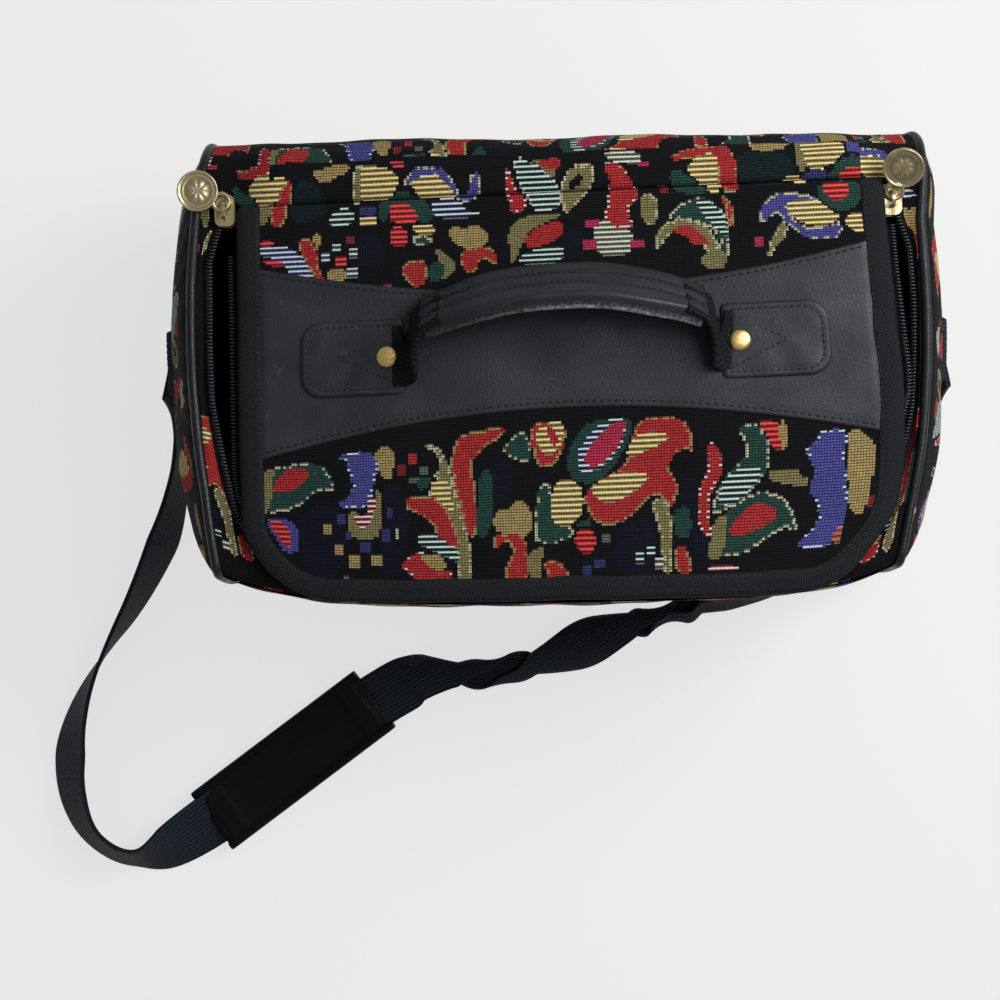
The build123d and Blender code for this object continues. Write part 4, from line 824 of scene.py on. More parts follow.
def build_walls():
    # back panel: from the hinge seam over the shoulder and down the back wall
    line = side_line(0, 14, 24)[::-1]
    flat = np.concatenate([[[82.35, 156.6]], line[(line[:, 0] > 82.35) | (line[:, 1] < 120)]])
    swell = np.concatenate([
        [[82.45, 160.4], [83.6, 161.9], [86.5, 162.3], [92.5, 161.5], [98.4, 158.0], [102.9, 151.8], [105.4, 143.5]],
        line[line[:, 1] < 130],
    ])
    rows = 220
    t = np.linspace(0, 1, rows)
    tall = along(swell)[-1]
    flat, swell = (read_at(t * along(p)[-1], along(p), p) for p in (flat, swell))
    xs = np.linspace(-HALF_WRAP, HALF_WRAP, int(2 * HALF_WRAP / CELL) + 1)
    k = step(158, 128, np.abs(xs))[None, :, None]
    yz = flat[:, None] * (1 - k) + swell[:, None] * k
    X = np.broadcast_to(xs[None], yz.shape[:2])
    V = 84 + (t * tall)[:, None] + 0 * X
    nrm = unit(np.gradient(yz, axis=0))
    out = np.stack([-nrm[..., 1], nrm[..., 0]], -1)
    pinch = step(0, 26, HALF_WRAP - np.abs(X))
    dent = (0.8 * wave(X, V, 46, 21) + 0.35 * wave(X, V * 1.4, 19, 22)) * pinch
    dent -= 1.6 * np.exp(-((np.abs(X) - 126) / 11) ** 2) * np.exp(-((V - 100) / 12) ** 2)
    dent *= step(0, 7, V - 84) * step(0, 10, (84 + tall) - V)
    yz = yz - out * dent[..., None]
    P = settle(np.concatenate([X[..., None], yz], -1))
    P[..., 1] += (0.03 * X - 4) * step(156, 142, np.abs(X)) * step(100, 84, V)
    V = 84 + np.concatenate([0 * V[:1], np.cumsum(np.linalg.norm(np.diff(P, axis=0), axis=-1), 0)])
    finish_piece(cloth("back_cloth", P, X, V, flip=True), "case", ["back_panel"])

    # front panel
    line = side_line(0, 14, 6)[::-1] * [-1, 1]
    line = even(line[line[:, 1] < 153.2], CELL)
    V = -(103 + along(line))[:, None] + 0 * xs[None]
    X = np.broadcast_to(xs[None], V.shape)
    yz = np.repeat(line[:, None], len(xs), 1)
    nrm = unit(np.gradient(yz, axis=0))
    out = np.stack([nrm[..., 1], -nrm[..., 0]], -1)
    pinch = step(0, 26, HALF_WRAP - np.abs(X)) * step(0, 8, -V - 103) * step(0, 12, V + 103 + along(line)[-1])
    dent = (0.6 * wave(X, V, 50, 31) + 0.3 * wave(X, V, 20, 32) - 5.0 * np.sin(PI * (V + 103) / V[-1:] * 0.62)) * pinch
    yz = yz + out * dent[..., None]
    P = settle(np.concatenate([X[..., None], yz], -1))
    finish_piece(cloth("front_cloth", P, X, V), "case", ["front_panel"])


def build_base():
    x = np.linspace(-HALF_WRAP, HALF_WRAP, int(2 * HALF_WRAP / (2 * CELL)) + 1)
    y = np.linspace(-84, 84, 70)
    X, Y = np.meshgrid(x, y)
    P = np.stack([X, Y, 0.15 + 0.25 * step(0, 20, 84 - np.abs(Y)) * (1 + wave(X, Y, 40, 8)) * 0.5], -1)
    finish_piece(cloth("base_cloth", settle(P), X, Y - 240, flip=True), "case", ["base_panel"])


def build_gussets():
    """Strips beside the zip with the front corners, open round the lid."""
    hole = np.concatenate([u_line(152.6, -101.8, 44.8, 90, 3.0)[0], [[152.6, 120], [-152.6, 120]]])
    x = np.arange(117.6, HALF_WRAP + 0.01, CELL * 0.999)
    x = x + (HALF_WRAP - x[-1])
    y = np.arange(-102.5, 82.8, CELL)
    X, Y = np.meshgrid(x, y)
    d, near = edge_distance(X, Y, hole)
    near = np.where((near[..., 1:] > 80), np.stack([X, Y], -1), near)
    keep = any_corner(d < 0.35) & ((d[:-1, :-1] + d[1:, 1:]) / 2 < 0.75)
    gx, gy = np.where(d > 0, near[..., 0], X), np.where(d > 0, near[..., 1], Y)
    over = np.clip(-96.5 - gy, 0, 5.98)
    top = HEIGHT - 6 + np.sqrt(36 - over**2)
    far = np.clip(-d, 0, 30)
    for side, label in SIDES:
        soft = 0.5 * wave(gx * side, gy, 26, 41) * step(0, 6, far) - 1.2 * (1 - step(0, 5, far))
        dip = 1.5 * np.exp(-((gy + 30) / 40) ** 2) * (1 - step(0, 9, far))
        slack = np.minimum(zip_slack(side, gy), 5.4) * np.clip(1 - far / 9.5, 0, 1) * step(100, 130, gx)
        P = np.stack([(gx + slack) * side, gy, top + (soft - dip) * step(0, 8, HALF_WRAP - gx + 1)], -1)
        front = step(10, -40, gy)
        P = settle(P, front + (1 - front) * step(0, 9, far), step(0, 9, far))
        ob = cloth(label + "_gusset_cloth", P, X * side, Y, keep, flip=side < 0)
        finish_piece(ob, "case", [label + "_gusset"])


def build_ends():
    """Pillows with puckers along the piped seam."""
    y = np.arange(-109.0, 109.1, CELL)
    z = np.arange(-0.5, 158.5, CELL)
    Y, Z = np.meshgrid(y, z)
    d, keep, py, pz = trimmed(Y, Z, OUTLINE)
    depth = np.clip(d, 0, None)
    turn = np.arctan2(pz - 78, py)
    pucker = 0.7 * np.sin(turn * 31 + 2 * np.sin(turn * 7)) * np.exp(-depth / 9) * step(0, 3, depth)
    soft = 1.1 * wave(py, pz, 48, 51) * step(0, 30, depth) + pucker
    flat = step(30, 18, np.abs(py - 7)) * step(34, 20, np.abs(pz - 103))
    rise = END_X - SEAT + end_rise(depth) * (1 + SEAT / BULGE) + soft * (1 - flat)
    for side, label in SIDES:
        P = settle(np.stack([side * rise, py, pz], -1))
        ob = cloth(label + "_end_cloth", P, Y * side, Z, keep, flip=side < 0, shift=(20.0, -250.0))
        finish_piece(ob, "case", [label + "_end_panel"])


def build_piping():
    ring = even(np.concatenate([outline(1.2, -1.2), outline(1.2, -1.2)[:1]]), 2.4)[:-1] + [0, 1.0]
    wob = 0.25 * np.sin(along(ring) * 0.05)
    for side, label in SIDES:
        path = np.column_stack([np.full(len(ring), 164.5 * side) + wob * side, ring])
        ob = tube(label + "_piping_cord", settle(path), 2.25, PIPING, 14)
        finish_piece(ob, "case", [label + "_piping"])


def build_lining():
    """Tub inside the case, open at the top."""
    half = side_line(3.5, 10.5, 20.5)
    back = half[half[:, 1] < 150]
    line = even(np.concatenate([back[::-1], back * [-1, 1]]), 4.0)
    x = np.linspace(-161.4, 161.4, 70)
    X = np.broadcast_to(x[None], (len(line), len(x)))
    s = along(line)[:, None]
    fold = 0.8 * wave(X, s + 0 * X, 40, 61)
    inward = unit(np.array([0.0, 75.0]) - line)
    yz = line[:, None] + inward[:, None] * (0.6 + np.abs(fold))[..., None]
    parts = [(np.concatenate([X[..., None], yz], -1).reshape(-1, 3), grid_faces(len(line), len(x)))]
    y = np.linspace(-104, 104, 50)
    z = np.linspace(3, 150, 36)
    Y, Z = np.meshgrid(y, z)
    ring = np.concatenate([back, (back * [-1, 1])[::-1]])
    _, keep, py, pz = trimmed(Y, Z, ring)
    bow = 160.9 + 0.5 * wave(py, pz, 40, 62)
    for side in (1, -1):
        parts.append((np.stack([side * bow, py, pz], -1).reshape(-1, 3), grid_faces(len(z), len(y), keep)))
    verts, faces = joined(parts)
    verts, faces = tidy_faces(settle(verts), faces)
    finish_piece(add_mesh("lining_cloth", verts, faces, LINING), "case", ["lining"])


# ---------------------------------------------------------------- zip
def zip_slack(side, y):
    """How far the case's half of the open zip hangs out on each side."""
    if side > 0:
        return np.interp(y, [-60, -40, -21, 3, 26, 51, 60, 66], [0, 3.6, 6.3, 7.2, 7.2, 5.6, 2.5, 0.4])
    return np.interp(y, [-60, -39, -15, 15, 50, 60, 66], [0, 2.6, 5.2, 5.8, 5.4, 2.5, 0.3])


def settle_zip(points):
    return settle(points, step(10, -40, np.asarray(points)[..., 1]), 0.0)


def coil_teeth(name, path, outward, mat, pitch=1.55, tilt=0.35):
    """Row of nylon loops along a zip line."""
    s = along(path)
    n = int(s[-1] / pitch)
    at = (np.arange(n) + 0.5) * s[-1] / n
    c = read_at(at, s, path)
    o = unit(with_z(read_at(at, s, outward), 0.0))
    t = np.stack([-o[:, 1], o[:, 0], 0 * at], 1)
    a = np.linspace(0, 2 * PI, 9, endpoint=False)
    b = np.linspace(0, 2 * PI, 5, endpoint=False)
    A, B = np.meshgrid(a, b, indexing="ij")
    rad_o, rad_z, wire = 1.3, 0.95, 0.42
    off_o = (rad_o + wire * np.cos(B)) * np.cos(A)
    off_z = (rad_z + wire * np.cos(B)) * np.sin(A)
    off_t = wire * np.sin(B) + tilt * np.sin(A)
    v = (c[:, None, None] + off_o[None, ..., None] * o[:, None, None] + off_t[None, ..., None] * t[:, None, None]
         + off_z[None, ..., None] * np.array([0, 0, 1.0]))
    f = grid_faces(9, 5, ring=True)
    last = np.array([[8 * 5 + j, 8 * 5 + (j + 1) % 5, (j + 1) % 5, j] for j in range(5)])
    f = np.concatenate([f, last])
    faces = (f[None] + (np.arange(n) * 45)[:, None, None]).reshape(-1, 4)
    return add_mesh(name, v.reshape(-1, 3), faces, mat)


def build_zip():
    for lid, half, front, corner, back in ((False, 149.7, -98.9, 42.0, 78.0), (True, 145.3, -94.5, 56.0, 60.5)):
        p, out = u_line(half, front, corner, back)
        drift = np.where(p[:, 0] > 0, zip_slack(1, p[:, 1]), zip_slack(-1, p[:, 1])) * step(100, 130, np.abs(p[:, 0]))
        under = (p[:, 0] > 100) * step(70, 60, np.abs(p[:, 1] + 20)) * step(-8, -45, p[:, 1])
        drift = -6.0 * under if lid else drift
        ride = 1.3 * (p[:, 0] > 100) * np.exp(-((p[:, 1] + 18) / 22) ** 2) * (1 if lid else -0.8)
        sag = 0.5 * wave(p[:, 0], p[:, 1], 40, 71 + lid)
        q = p + out * drift[:, None]
        path = with_z(q, 155.4) + np.column_stack([0 * sag, 0 * sag, sag * step(70, 40, p[:, 1]) + ride])
        tag = "lid" if lid else "case"
        ob = coil_teeth("zip_teeth_" + tag, path if lid else settle_zip(path), out, ZIP_COIL)
        finish_piece(ob, tag, ["zip_coil_" + tag])
        if lid:
            sec = np.array([(-9.0, 2.0), (-6.0, 1.6), (-3.2, 0.6), (-1.6, -0.2), (0.9, -0.6), (0.9, -1.0), (-3.2, -0.6),
                            (-9.0, 1.2)])
        else:
            sec = np.array([(8.8, -1.6), (5.0, -0.9), (2.9, 0.0), (1.5, -0.3), (-0.9, -0.6), (-0.9, -1.0), (2.9, -1.2),
                            (8.8, -2.0)])
        base = with_z(p, 155.4)
        v = np.repeat(base[:, None], len(sec), 1)
        reach = np.clip(1 - np.abs(sec[:, 0]) / 9.5, 0, 1)
        wide = np.where(sec[None, :, :1] > 2.5, 1 + 0.75 * np.minimum(out[:, None, 1:], 0), 1.0)
        v[..., :2] += out[:, None] * (sec[None, :, :1] * wide + drift[:, None, None] * reach[None, :, None])
        v[..., 2] += sec[None, :, 1]
        v = v if lid else settle_zip(v)
        uv = grid_uv(along(base), along(sec))
        ob = add_mesh("zip_tape_" + tag + "_cloth", v.reshape(-1, 3), grid_faces(len(base), len(sec)), ZIP_TAPE, uv)
        finish_piece(ob, tag, ["zip_tape_" + tag])


# ---------------------------------------------------------------- lid
def build_lid():
    x = np.linspace(-141.4, 141.4, int(282.8 / CELL) + 1)
    y = np.arange(-100.9, 82.0, CELL)
    y = y + (82.05 - y[-1])
    X, Y = np.meshgrid(x, y)
    ring = np.concatenate([u_line(140.6, -100.2, 39, 90, 3.0)[0], [[140.6, 130], [-140.6, 130]]])
    d, _ = edge_distance(X, Y, ring)
    Z = lid_height(X, Y) - 1.6 * (1 - step(-1, 7, d))
    ob = cloth("lid_cloth", np.stack([X, Y, Z], -1), X, Y, any_corner(d > 0), lid=True)
    finish_piece(ob, "lid", ["lid_panel"])


def build_binding():
    """Tape round the lid's edge."""
    p, out = u_line(142.0, -101.5, 40.0, 82.0, 2.0)
    wob = 0.35 * wave(p[:, 0], p[:, 1], 22, 81)
    sec = np.array([(-10.2, -0.5), (-10.25, 0.35), (-9.8, 0.75), (-7.5, 1.0), (-4.5, 1.05), (-2.0, 0.75), (-0.6, 0.1),
                    (0.2, -1.0), (0.35, -2.3), (0.0, -3.7), (-0.9, -4.6), (-2.6, -5.0), (-5.0, -4.9)])
    top = lid_height(*(p - out * 5.0).T) - 0.2
    v = np.repeat(with_z(p, top)[:, None], len(sec), 1)
    v[..., :2] += out[:, None] * (sec[None, :, :1] + (wob[:, None] * np.linspace(1, 0.4, len(sec))[None])[..., None])
    v[..., 2] += sec[None, :, 1] + 0.2 * wave(p[:, 0], p[:, 1], 15, 82)[:, None]
    uv = grid_uv(along(p), along(sec))
    ob = add_mesh("binding_tape", v.reshape(-1, 3), grid_faces(len(p), len(sec))[:, ::-1], BINDING, uv)
    finish_piece(ob, "lid", ["lid_binding"])
    seam, _ = u_line(133.2, -92.7, 31.2, 80.0, 2.0)
    pts = with_z(seam, lid_height(*seam.T) + 0.55)
    finish_piece(stitches("binding_stitches", [(pts, (0, 0, 1))], 2.6, 1.9, 0.28), "lid")


def build_lid_lining():
    x = np.linspace(-139, 139, 90)
    y = np.linspace(-92, 82, 60)
    X, Y = np.meshgrid(x, y)
    d, keep, px, py = trimmed(X, Y, u_line(139.0, -92.0, 35, 82, 3.0)[0])
    Z = 157.4 - 3.3 * step(-2, 9, d) + 0.35 * wave(px, py, 34, 91) * step(0, 12, d)
    verts, faces = tidy_faces(np.stack([px, py, Z], -1).reshape(-1, 3), grid_faces(len(y), len(x), keep)[:, ::-1])
    finish_piece(add_mesh("lid_lining_cloth", verts, faces, LINING), "lid", ["lid_lining"])


YOKE_Y, RIVET_X, TAB_TOP = 9.0, 76.5, 2.75  # the yoke's middle line, the rivets' place and the tabs' height
TAB_HALF = np.array([[22.0, 16.5]])
TAB_STEPS = ((0, 0.0), (0.0, 0.9), (0.25, 1.35), (0.8, 1.65), (1.8, 1.72), (2.7, 1.5), (3.8, 1.75), (7, 1.85),
             (11, 1.9), (15.5, 1.9))  # how far in from the tab's edge, and how high


def yoke_half(x):
    """Half the yoke's width, which is least in the middle."""
    return 26 + 17 * (x / 131.6) ** 2


def on_yoke(p, up):
    return with_z(p, lid_height(p[:, 0], p[:, 1]) + up)


def build_yoke():
    """Sheet with rolled edges over the lid."""
    rim = np.array([0, 0.12, 0.4, 0.9, 1.7, 3.2])
    xs = np.concatenate([-134.4 + rim, np.linspace(-130, 130, 124), (134.4 - rim)[::-1]])
    cols = []
    for x in xs:
        h = yoke_half(x)
        cols.append(YOKE_Y + np.concatenate([-h + rim, np.linspace(-h + 4.5, h - 4.5, 34), (h - rim)[::-1]]))
    Y = np.array(cols)
    X = np.repeat(xs[:, None], Y.shape[1], 1)
    edge = yoke_half(X) - np.abs(Y - YOKE_Y)
    lift = 1.25 * round_edge(edge, 1.3)
    press = -0.28 * np.exp(-((edge - 2.6) / 0.8) ** 2)
    drape = 0.25 * wave(X, Y, 30, 101)
    Z = lid_height(X, Y) + (lift + press + drape * step(2, 16, edge)) * step(134, 130.5, np.abs(X)) - 0.15
    nx, ny = X.shape
    uv = np.stack([X, Y], -1).reshape(-1, 2)
    ob = add_mesh("yoke_leather", np.stack([X, Y, Z], -1).reshape(-1, 3), grid_faces(nx, ny)[:, ::-1], LEATHER, uv)
    finish_piece(ob, "lid", ["lid_yoke"])

    lines = []
    x = np.linspace(-131, 131, 140)
    for s in (1, -1):
        lines.append((on_yoke(np.stack([x, YOKE_Y + s * (yoke_half(x) - 2.6)], 1), 0.95), (0, 0, 1)))
    finish_piece(stitches("yoke_stitches", lines, 3.2, 2.5, 0.48), "lid")


def build_tabs():
    """Tabs with a stitched edge and a stitched triangle."""
    a = np.linspace(0, PI / 2, 10)
    corner = np.concatenate([
        np.stack([105 + 9 * np.sin(a), 7.5 + 9 * np.cos(a)], 1),
        np.stack([105 + 9 * np.cos(a), -7.5 - 9 * np.sin(a)], 1),
        [[71, -16.5], [69.6, -16.1], [69, -15], [69, 15], [69.6, 16.1], [71, 16.5]],
    ])
    plan = even(np.concatenate([corner, corner[:1]]), 1.6)[:-1]
    for side, label in SIDES:
        rings = []
        mid = np.array([91.0, 0.0])
        for inset, up in TAB_STEPS:
            q = mid + (plan - mid) * (1 - inset / TAB_HALF)
            base = lid_height(side * q[:, 0], q[:, 1] + YOKE_Y) + 1.0
            soft = 0.15 * wave(q[:, 0], q[:, 1], 9, 111)
            rings.append(np.column_stack([side * q[:, 0], q[:, 1] + YOKE_Y, base + up + soft]))
        n, last = len(plan), (len(rings) - 1) * len(plan)
        f = grid_faces(len(rings), n, ring=True).tolist() + [[last + i, last + (i + 1) % n, last + n] for i in range(n)]
        v = np.concatenate(rings + [[[side * mid[0], YOKE_Y, rings[-1][:, 2].mean()]]])
        ob = add_mesh(label + "_tab_leather", v, [r[::-side] for r in f], LEATHER)
        finish_piece(ob, "lid", [label + "_handle_tab"])
        q = mid + (plan - mid) * (1 - 2.7 / TAB_HALF)
        q = np.concatenate([q, q[:1]])
        tri = even(np.array([[71.5, 12.6], [96.5, 0.0], [71.5, -12.6]]), 1.0)
        rows = [(on_yoke(p * [side, 1] + [0, YOKE_Y], TAB_TOP), (0, 0, 1)) for p in (q, tri)]
        finish_piece(stitches(label + "_tab_stitches", rows, 2.7, 2.0, 0.34), "lid")


def build_rivets():
    r = np.array([0, 1.5, 2.8, 3.7, 4.3, 4.65, 4.75, 4.7, 4.7])
    z = np.array([1.75, 1.72, 1.62, 1.42, 1.1, 0.65, 0.3, 0.0, -1.2])
    a = np.linspace(0, 2 * PI, 32, endpoint=False)
    rb, zb = np.array([4.0, 4.0, 3.6, 0.0]), np.array([154.2, 153.5, 153.2, 153.1])
    parts = []
    for side in (1, -1):
        x = side * RIVET_X
        zc = float(lid_height(np.array(x), np.array(YOKE_Y))) + TAB_TOP
        for radius, high in ((r, zc + z), (rb, zb)):
            ring = [x + radius[:, None] * np.cos(a), YOKE_Y + radius[:, None] * np.sin(a), high[:, None] + 0 * a]
            parts.append((np.stack(ring, -1).reshape(-1, 3), grid_faces(len(radius), len(a), ring=True)))
    ob = add_mesh("rivet_caps", *joined(parts), RIVET)
    finish_piece(ob, "lid", ["handle_rivets"])


# ---------------------------------------------------------------- handle
LEAN = math.radians(50)
H_ORIGIN = np.array([0.0, 9.0, 164.5])
H_UP = np.array([0.0, math.sin(LEAN), math.cos(LEAN)])
H_OUT = np.array([0.0, -math.cos(LEAN), math.sin(LEAN)])
GRIP_R, GRIP_C = 127.5, -93.5


def grip_place(slope, across, out):
    """Points on the grip: slope along the arc, across its width, out from its middle line."""
    r = GRIP_R + out
    x = r * np.sin(slope)
    h = GRIP_C + r * np.cos(slope)
    return H_ORIGIN + x[..., None] * np.array([1.0, 0, 0]) + h[..., None] * H_UP + np.asarray(across)[..., None] * H_OUT


def build_grip():
    """Padded leather, folded and sewn in three bands."""
    sec = []
    for n in np.linspace(-12.0, 12.0, 43):
        k = np.interp(n, [-13.4, -4.6, 3.6, 13.4], [0, 1, 2, 3]) % 1.0
        sec.append((n, 3.6 + 1.0 * max(0.0, math.sin(PI * k)) ** 0.5))
    a = np.linspace(PI / 2, -PI / 2, 14)[1:-1]
    front = [(12.0 + 1.8 * math.cos(t), 4.2 * math.sin(t)) for t in a]
    under = [(n, -4.1 - 0.3 * math.cos(n / 8)) for n in np.linspace(12.0, -12.0, 17)]
    rear = [(-12.0 - 1.8 * math.cos(t), -4.2 * math.sin(t)) for t in a]
    sec = np.array(sec + front + under + rear)
    top_slope = math.asin(60 / GRIP_R)
    slope = np.linspace(-top_slope, top_slope, 70)
    end = np.abs(slope) / top_slope
    slim = 1 - 0.16 * step(0.5, 1.0, end)
    S = np.repeat(slope[:, None], len(sec), 1)
    N = sec[None, :, 0] * slim[:, None]
    O = sec[None, :, 1] * (1 - 0.1 * step(0.9, 1, end))[:, None] + 0.2 * wave(S * 130, N, 20, 121)
    v = grip_place(S, N, O)
    rows, n = v.shape[:2]
    faces = capped_faces(rows, n, turned=True)
    ob = add_mesh("grip_leather", v.reshape(-1, 3), faces, LEATHER, smooth=[len(f) == 4 for f in faces])
    # pale band along the grip's lower front edge: the worn raw edge, and also a painted highlight, made stronger
    # towards the right, where the key lamp stands
    raw = np.exp(-((sec[:, 0] - 13.0) / 1.3) ** 2) * np.exp(-((sec[:, 1] + 2.6) / 1.7) ** 2)
    highlight_to_right = 0.15 + 0.85 * step(-0.3, 0.15, slope)
    wear_and_highlight = (highlight_to_right[:, None] * raw[None]).astype(np.float32).ravel()
    ob.data.attributes.new("wear_and_highlight", "FLOAT", "POINT").data.foreach_set("value", wear_and_highlight)
    finish_piece(ob, "handle", ["handle_grip"])
    lines = []
    s = np.linspace(-top_slope * 0.97, top_slope * 0.97, 90)
    for across in (-4.6, 3.6):
        pts = grip_place(s, 0 * s + across, 0 * s + 3.95)
        lines.append((pts, unit(grip_place(s, 0 * s, 0 * s + 9) - grip_place(s, 0 * s, 0 * s))))
    pts = grip_place(s, 0 * s + 13.75, 0 * s - 0.6)
    lines.append((pts, np.tile(H_OUT, (len(s), 1))))
    finish_piece(stitches("grip_stitches", lines, 2.6, 1.9, 0.32), "handle")


def build_loops():
    """Webbing from under the tabs up round the grip's ends."""
    for side, label in SIDES:
        ts = np.array([0, 0.12, 0.25, 0.4, 0.55, 0.7, 0.84, 1.0])
        ends = np.array([[74.0, 9.0, 164.3], [69.0, 9.0, 164.9], [66.4, 9.6, 167.0], [65.3, 12.2, 170.4],
                         [64.9, 16.4, 174.2], [63.6, 20.9, 177.8], [60.2, 24.4, 180.4], [52.5, 27.6, 183.4]])
        wide = np.array([[0, 1, 0], [0, 1, 0], [0, 1, -0.1], [0, 0.97, -0.3], [0.02, 0.85, -0.6], [0.03, 0.72, -0.74],
                         [0.0, 0.643, -0.766], [0.0, 0.643, -0.766]])
        half = np.array([13.5, 13.5, 13.2, 12.6, 12.0, 11.4, 10.9, 10.6])
        t = np.linspace(0, 1, 44)
        mid = read_at(t, ts, ends)
        for _ in range(6):
            mid[1:-1] = (mid[:-2] + 2 * mid[1:-1] + mid[2:]) / 4
        w = unit(read_at(t, ts, wide))
        hw = np.interp(t, ts, half)
        tan = unit(np.gradient(mid, axis=0))
        w = unit(w - tan * (w * tan).sum(1, keepdims=True))
        nrm = np.cross(tan, w)
        ang = np.linspace(0, 2 * PI, 24, endpoint=False)
        cx = np.sign(np.cos(ang)) * np.abs(np.cos(ang)) ** 0.35
        cz = np.sign(np.sin(ang)) * np.abs(np.sin(ang)) ** 0.6
        bow = 1.1 * (1 - cx**2)
        out = hw[:, None] * cx[None]
        v = mid[:, None] + w[:, None] * out[..., None] + nrm[:, None] * (1.7 * cz + bow * 0.6)[None, :, None]
        v[..., 0] *= side
        uv = np.stack(np.broadcast_arrays(along(mid)[:, None], out), -1).reshape(-1, 2)
        faces = grid_faces(len(t), 24, ring=True)
        ob = add_mesh(label + "_loop_webbing", v.reshape(-1, 3), faces if side < 0 else faces[:, ::-1], LOOP_WEB, uv)
        finish_piece(ob, None, [label + "_handle_webbing"])
        reshape(ob, lid_settle)
        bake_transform(ob)


# ---------------------------------------------------------------- sliders and pulls
def pull_axes(side, heading, tilt, eye):
    """Where a pull starts, and its directions along, across and up."""
    h, t = math.radians(heading), math.radians(tilt)
    run = np.array([math.cos(h) * math.cos(t), math.sin(h) * math.cos(t), math.sin(t)])
    up = np.array([-math.cos(h) * math.sin(t), -math.sin(h) * math.sin(t), math.cos(t)])
    start = np.array([side * 147.5 + eye[0] - 3.6 * math.cos(h), 73 + eye[1] - 3.6 * math.sin(h), 160.05])
    return start, run, np.cross(up, run), up


def on_pull(axes, a, b, c):
    start, run, across, up = axes
    return start + a[..., None] * run + b[..., None] * across + c[..., None] * up


# radius and height along the coin's profile
COIN = np.array([(0, 0.95), (0.7, 0.95), (1.3, 0.92), (2, 0.9), (2.8, 0.8), (3.5, 0.62), (4.2, 0.52), (5, 0.5),
                 (5.8, 0.5), (6.3, 0.55), (6.8, 0.62), (7.3, 0.55), (7.7, 0.6), (8.1, 1), (8.6, 1.1),
                 (8.95, 0.95), (9.05, 0.5), (9, -0.4), (8.9, -0.7), (8.3, -0.78), (0, -0.78)])


def build_pulls():
    for side, label, heading, tilt, eye in ((1, "right", 71, 30, (0.6, 3.5)), (-1, "left", 155, 6, (-1.2, 3.6))):
        axes = pull_axes(side, heading, tilt, eye)
        # coin: rim, hollow field and a plain rosette in relief
        r, z = COIN.T
        a = np.linspace(0, 2 * PI, 72, endpoint=False)
        R, A = np.meshgrid(r, a, indexing="ij")
        Z = np.repeat(z[:, None], 72, 1)
        petal = np.abs(np.cos(4 * A))
        front = (np.arange(len(r)) < 14)[:, None]
        bead = 0.16 * (np.cos(36 * A) > 0.2) * np.exp(-((R - 6.8) / 0.5) ** 2)
        Z = Z + front * (0.3 * petal * np.exp(-((R - 3.3) / 1.3) ** 2) + bead)
        coin = on_pull(axes, 14.9 + R * np.cos(A), R * np.sin(A), Z)
        dip = np.clip((0.72 - Z) / 0.35, 0, 1) * front * 0.85
        # eye
        turns = np.linspace(0, 2 * PI, 36, endpoint=False)
        T, B = np.meshgrid(turns, np.linspace(0, 2 * PI, 10, endpoint=False), indexing="ij")
        rr = 3.6 + 0.95 * np.cos(B)
        eyelet = on_pull(axes, 3.6 + rr * np.cos(T), rr * np.sin(T), 0.85 * np.sin(B))
        eyelet = np.concatenate([eyelet, eyelet[:1]])
        # neck
        top = np.array([(6.6, 0.2), (7.0, 0.85), (7.2, 0.85), (7.6, 0.2), (7.2, -0.7), (6.8, -0.7)])
        Yn, Kn = np.meshgrid(np.linspace(-2.6, 2.6, 9), np.arange(6), indexing="ij")
        neck = on_pull(axes, top[Kn, 0], Yn, top[Kn, 1])
        parts = [(P.reshape(-1, 3), grid_faces(*P.shape[:2], ring=True)) for P in (coin, eyelet, neck)]
        verts, faces = joined(parts)
        ob = add_mesh(label + "_pull_coin", verts, faces[:, ::-1], BRASS)
        hollow = np.zeros(len(verts), np.float32)
        hollow[:dip.size] = dip.ravel()
        ob.data.attributes.new("hollow", "FLOAT", "POINT").data.foreach_set("value", hollow)
        finish_piece(ob, label + "_pull", [label + "_pull"])
        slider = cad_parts[label + "_slider"]
        slider.data.materials.clear()
        slider.data.materials.append(BRASS)
        bevel = slider.modifiers.new("soft edges", "BEVEL")
        bevel.width, bevel.segments, bevel.limit_method = 0.0003, 2, "ANGLE"


# ---------------------------------------------------------------- shoulder strap
ROUTE = [(-184.215, 7, 84.2), (-184.815, 4, 64), (-186.015, -6, 42), (-188.015, -24, 25), (-191.515, -46, 15.5),
         (-196.515, -68, 13), (-206.015, -90, 13), (-217.015, -111, 13), (-229.515, -130, 12.5), (-242.015,
         -153, 12), (-249.515, -178, 12), (-249.515, -203, 12), (-240.015, -226, 12), (-217.015, -239, 11),
         (-189.515, -227.1, 5.8), (-82.715, -149.5, 5.8), (-58.028, -145.5, 9.5), (-28.001, -145, 10), (0,
         -137.5, 10), (28.001, -125, 10), (56.001, -116, 10), (81.976, -112, 11), (105.924, -108.5, 12),
         (137.977, -99, 13), (161.715, -95.5, 13), (179.615, -82, 13.5), (186.615, -58, 15), (186.615, -34, 23),
         (185.515, -12, 42), (184.815, 3, 64), (184.215, 7, 84.2)]
# turn of the webbing in degrees, at each place up to the pad and then along the front by x
ROLL = [90, 90, 90, 86, 76, 66, 74, 83, 97, 114, 130, 126, 116, 112, 165, 184]
TWIST = [(-82, 184), (-60, 225), (-46, 270), (-31, 360), (-17, 450), (14, 540), (45, 630), (54.5, 720), (62, 810),
         (75, 834), (92, 826), (108, 812), (138, 810)]
FOLD = 0.9  # how far the creases of the twist slant across the webbing


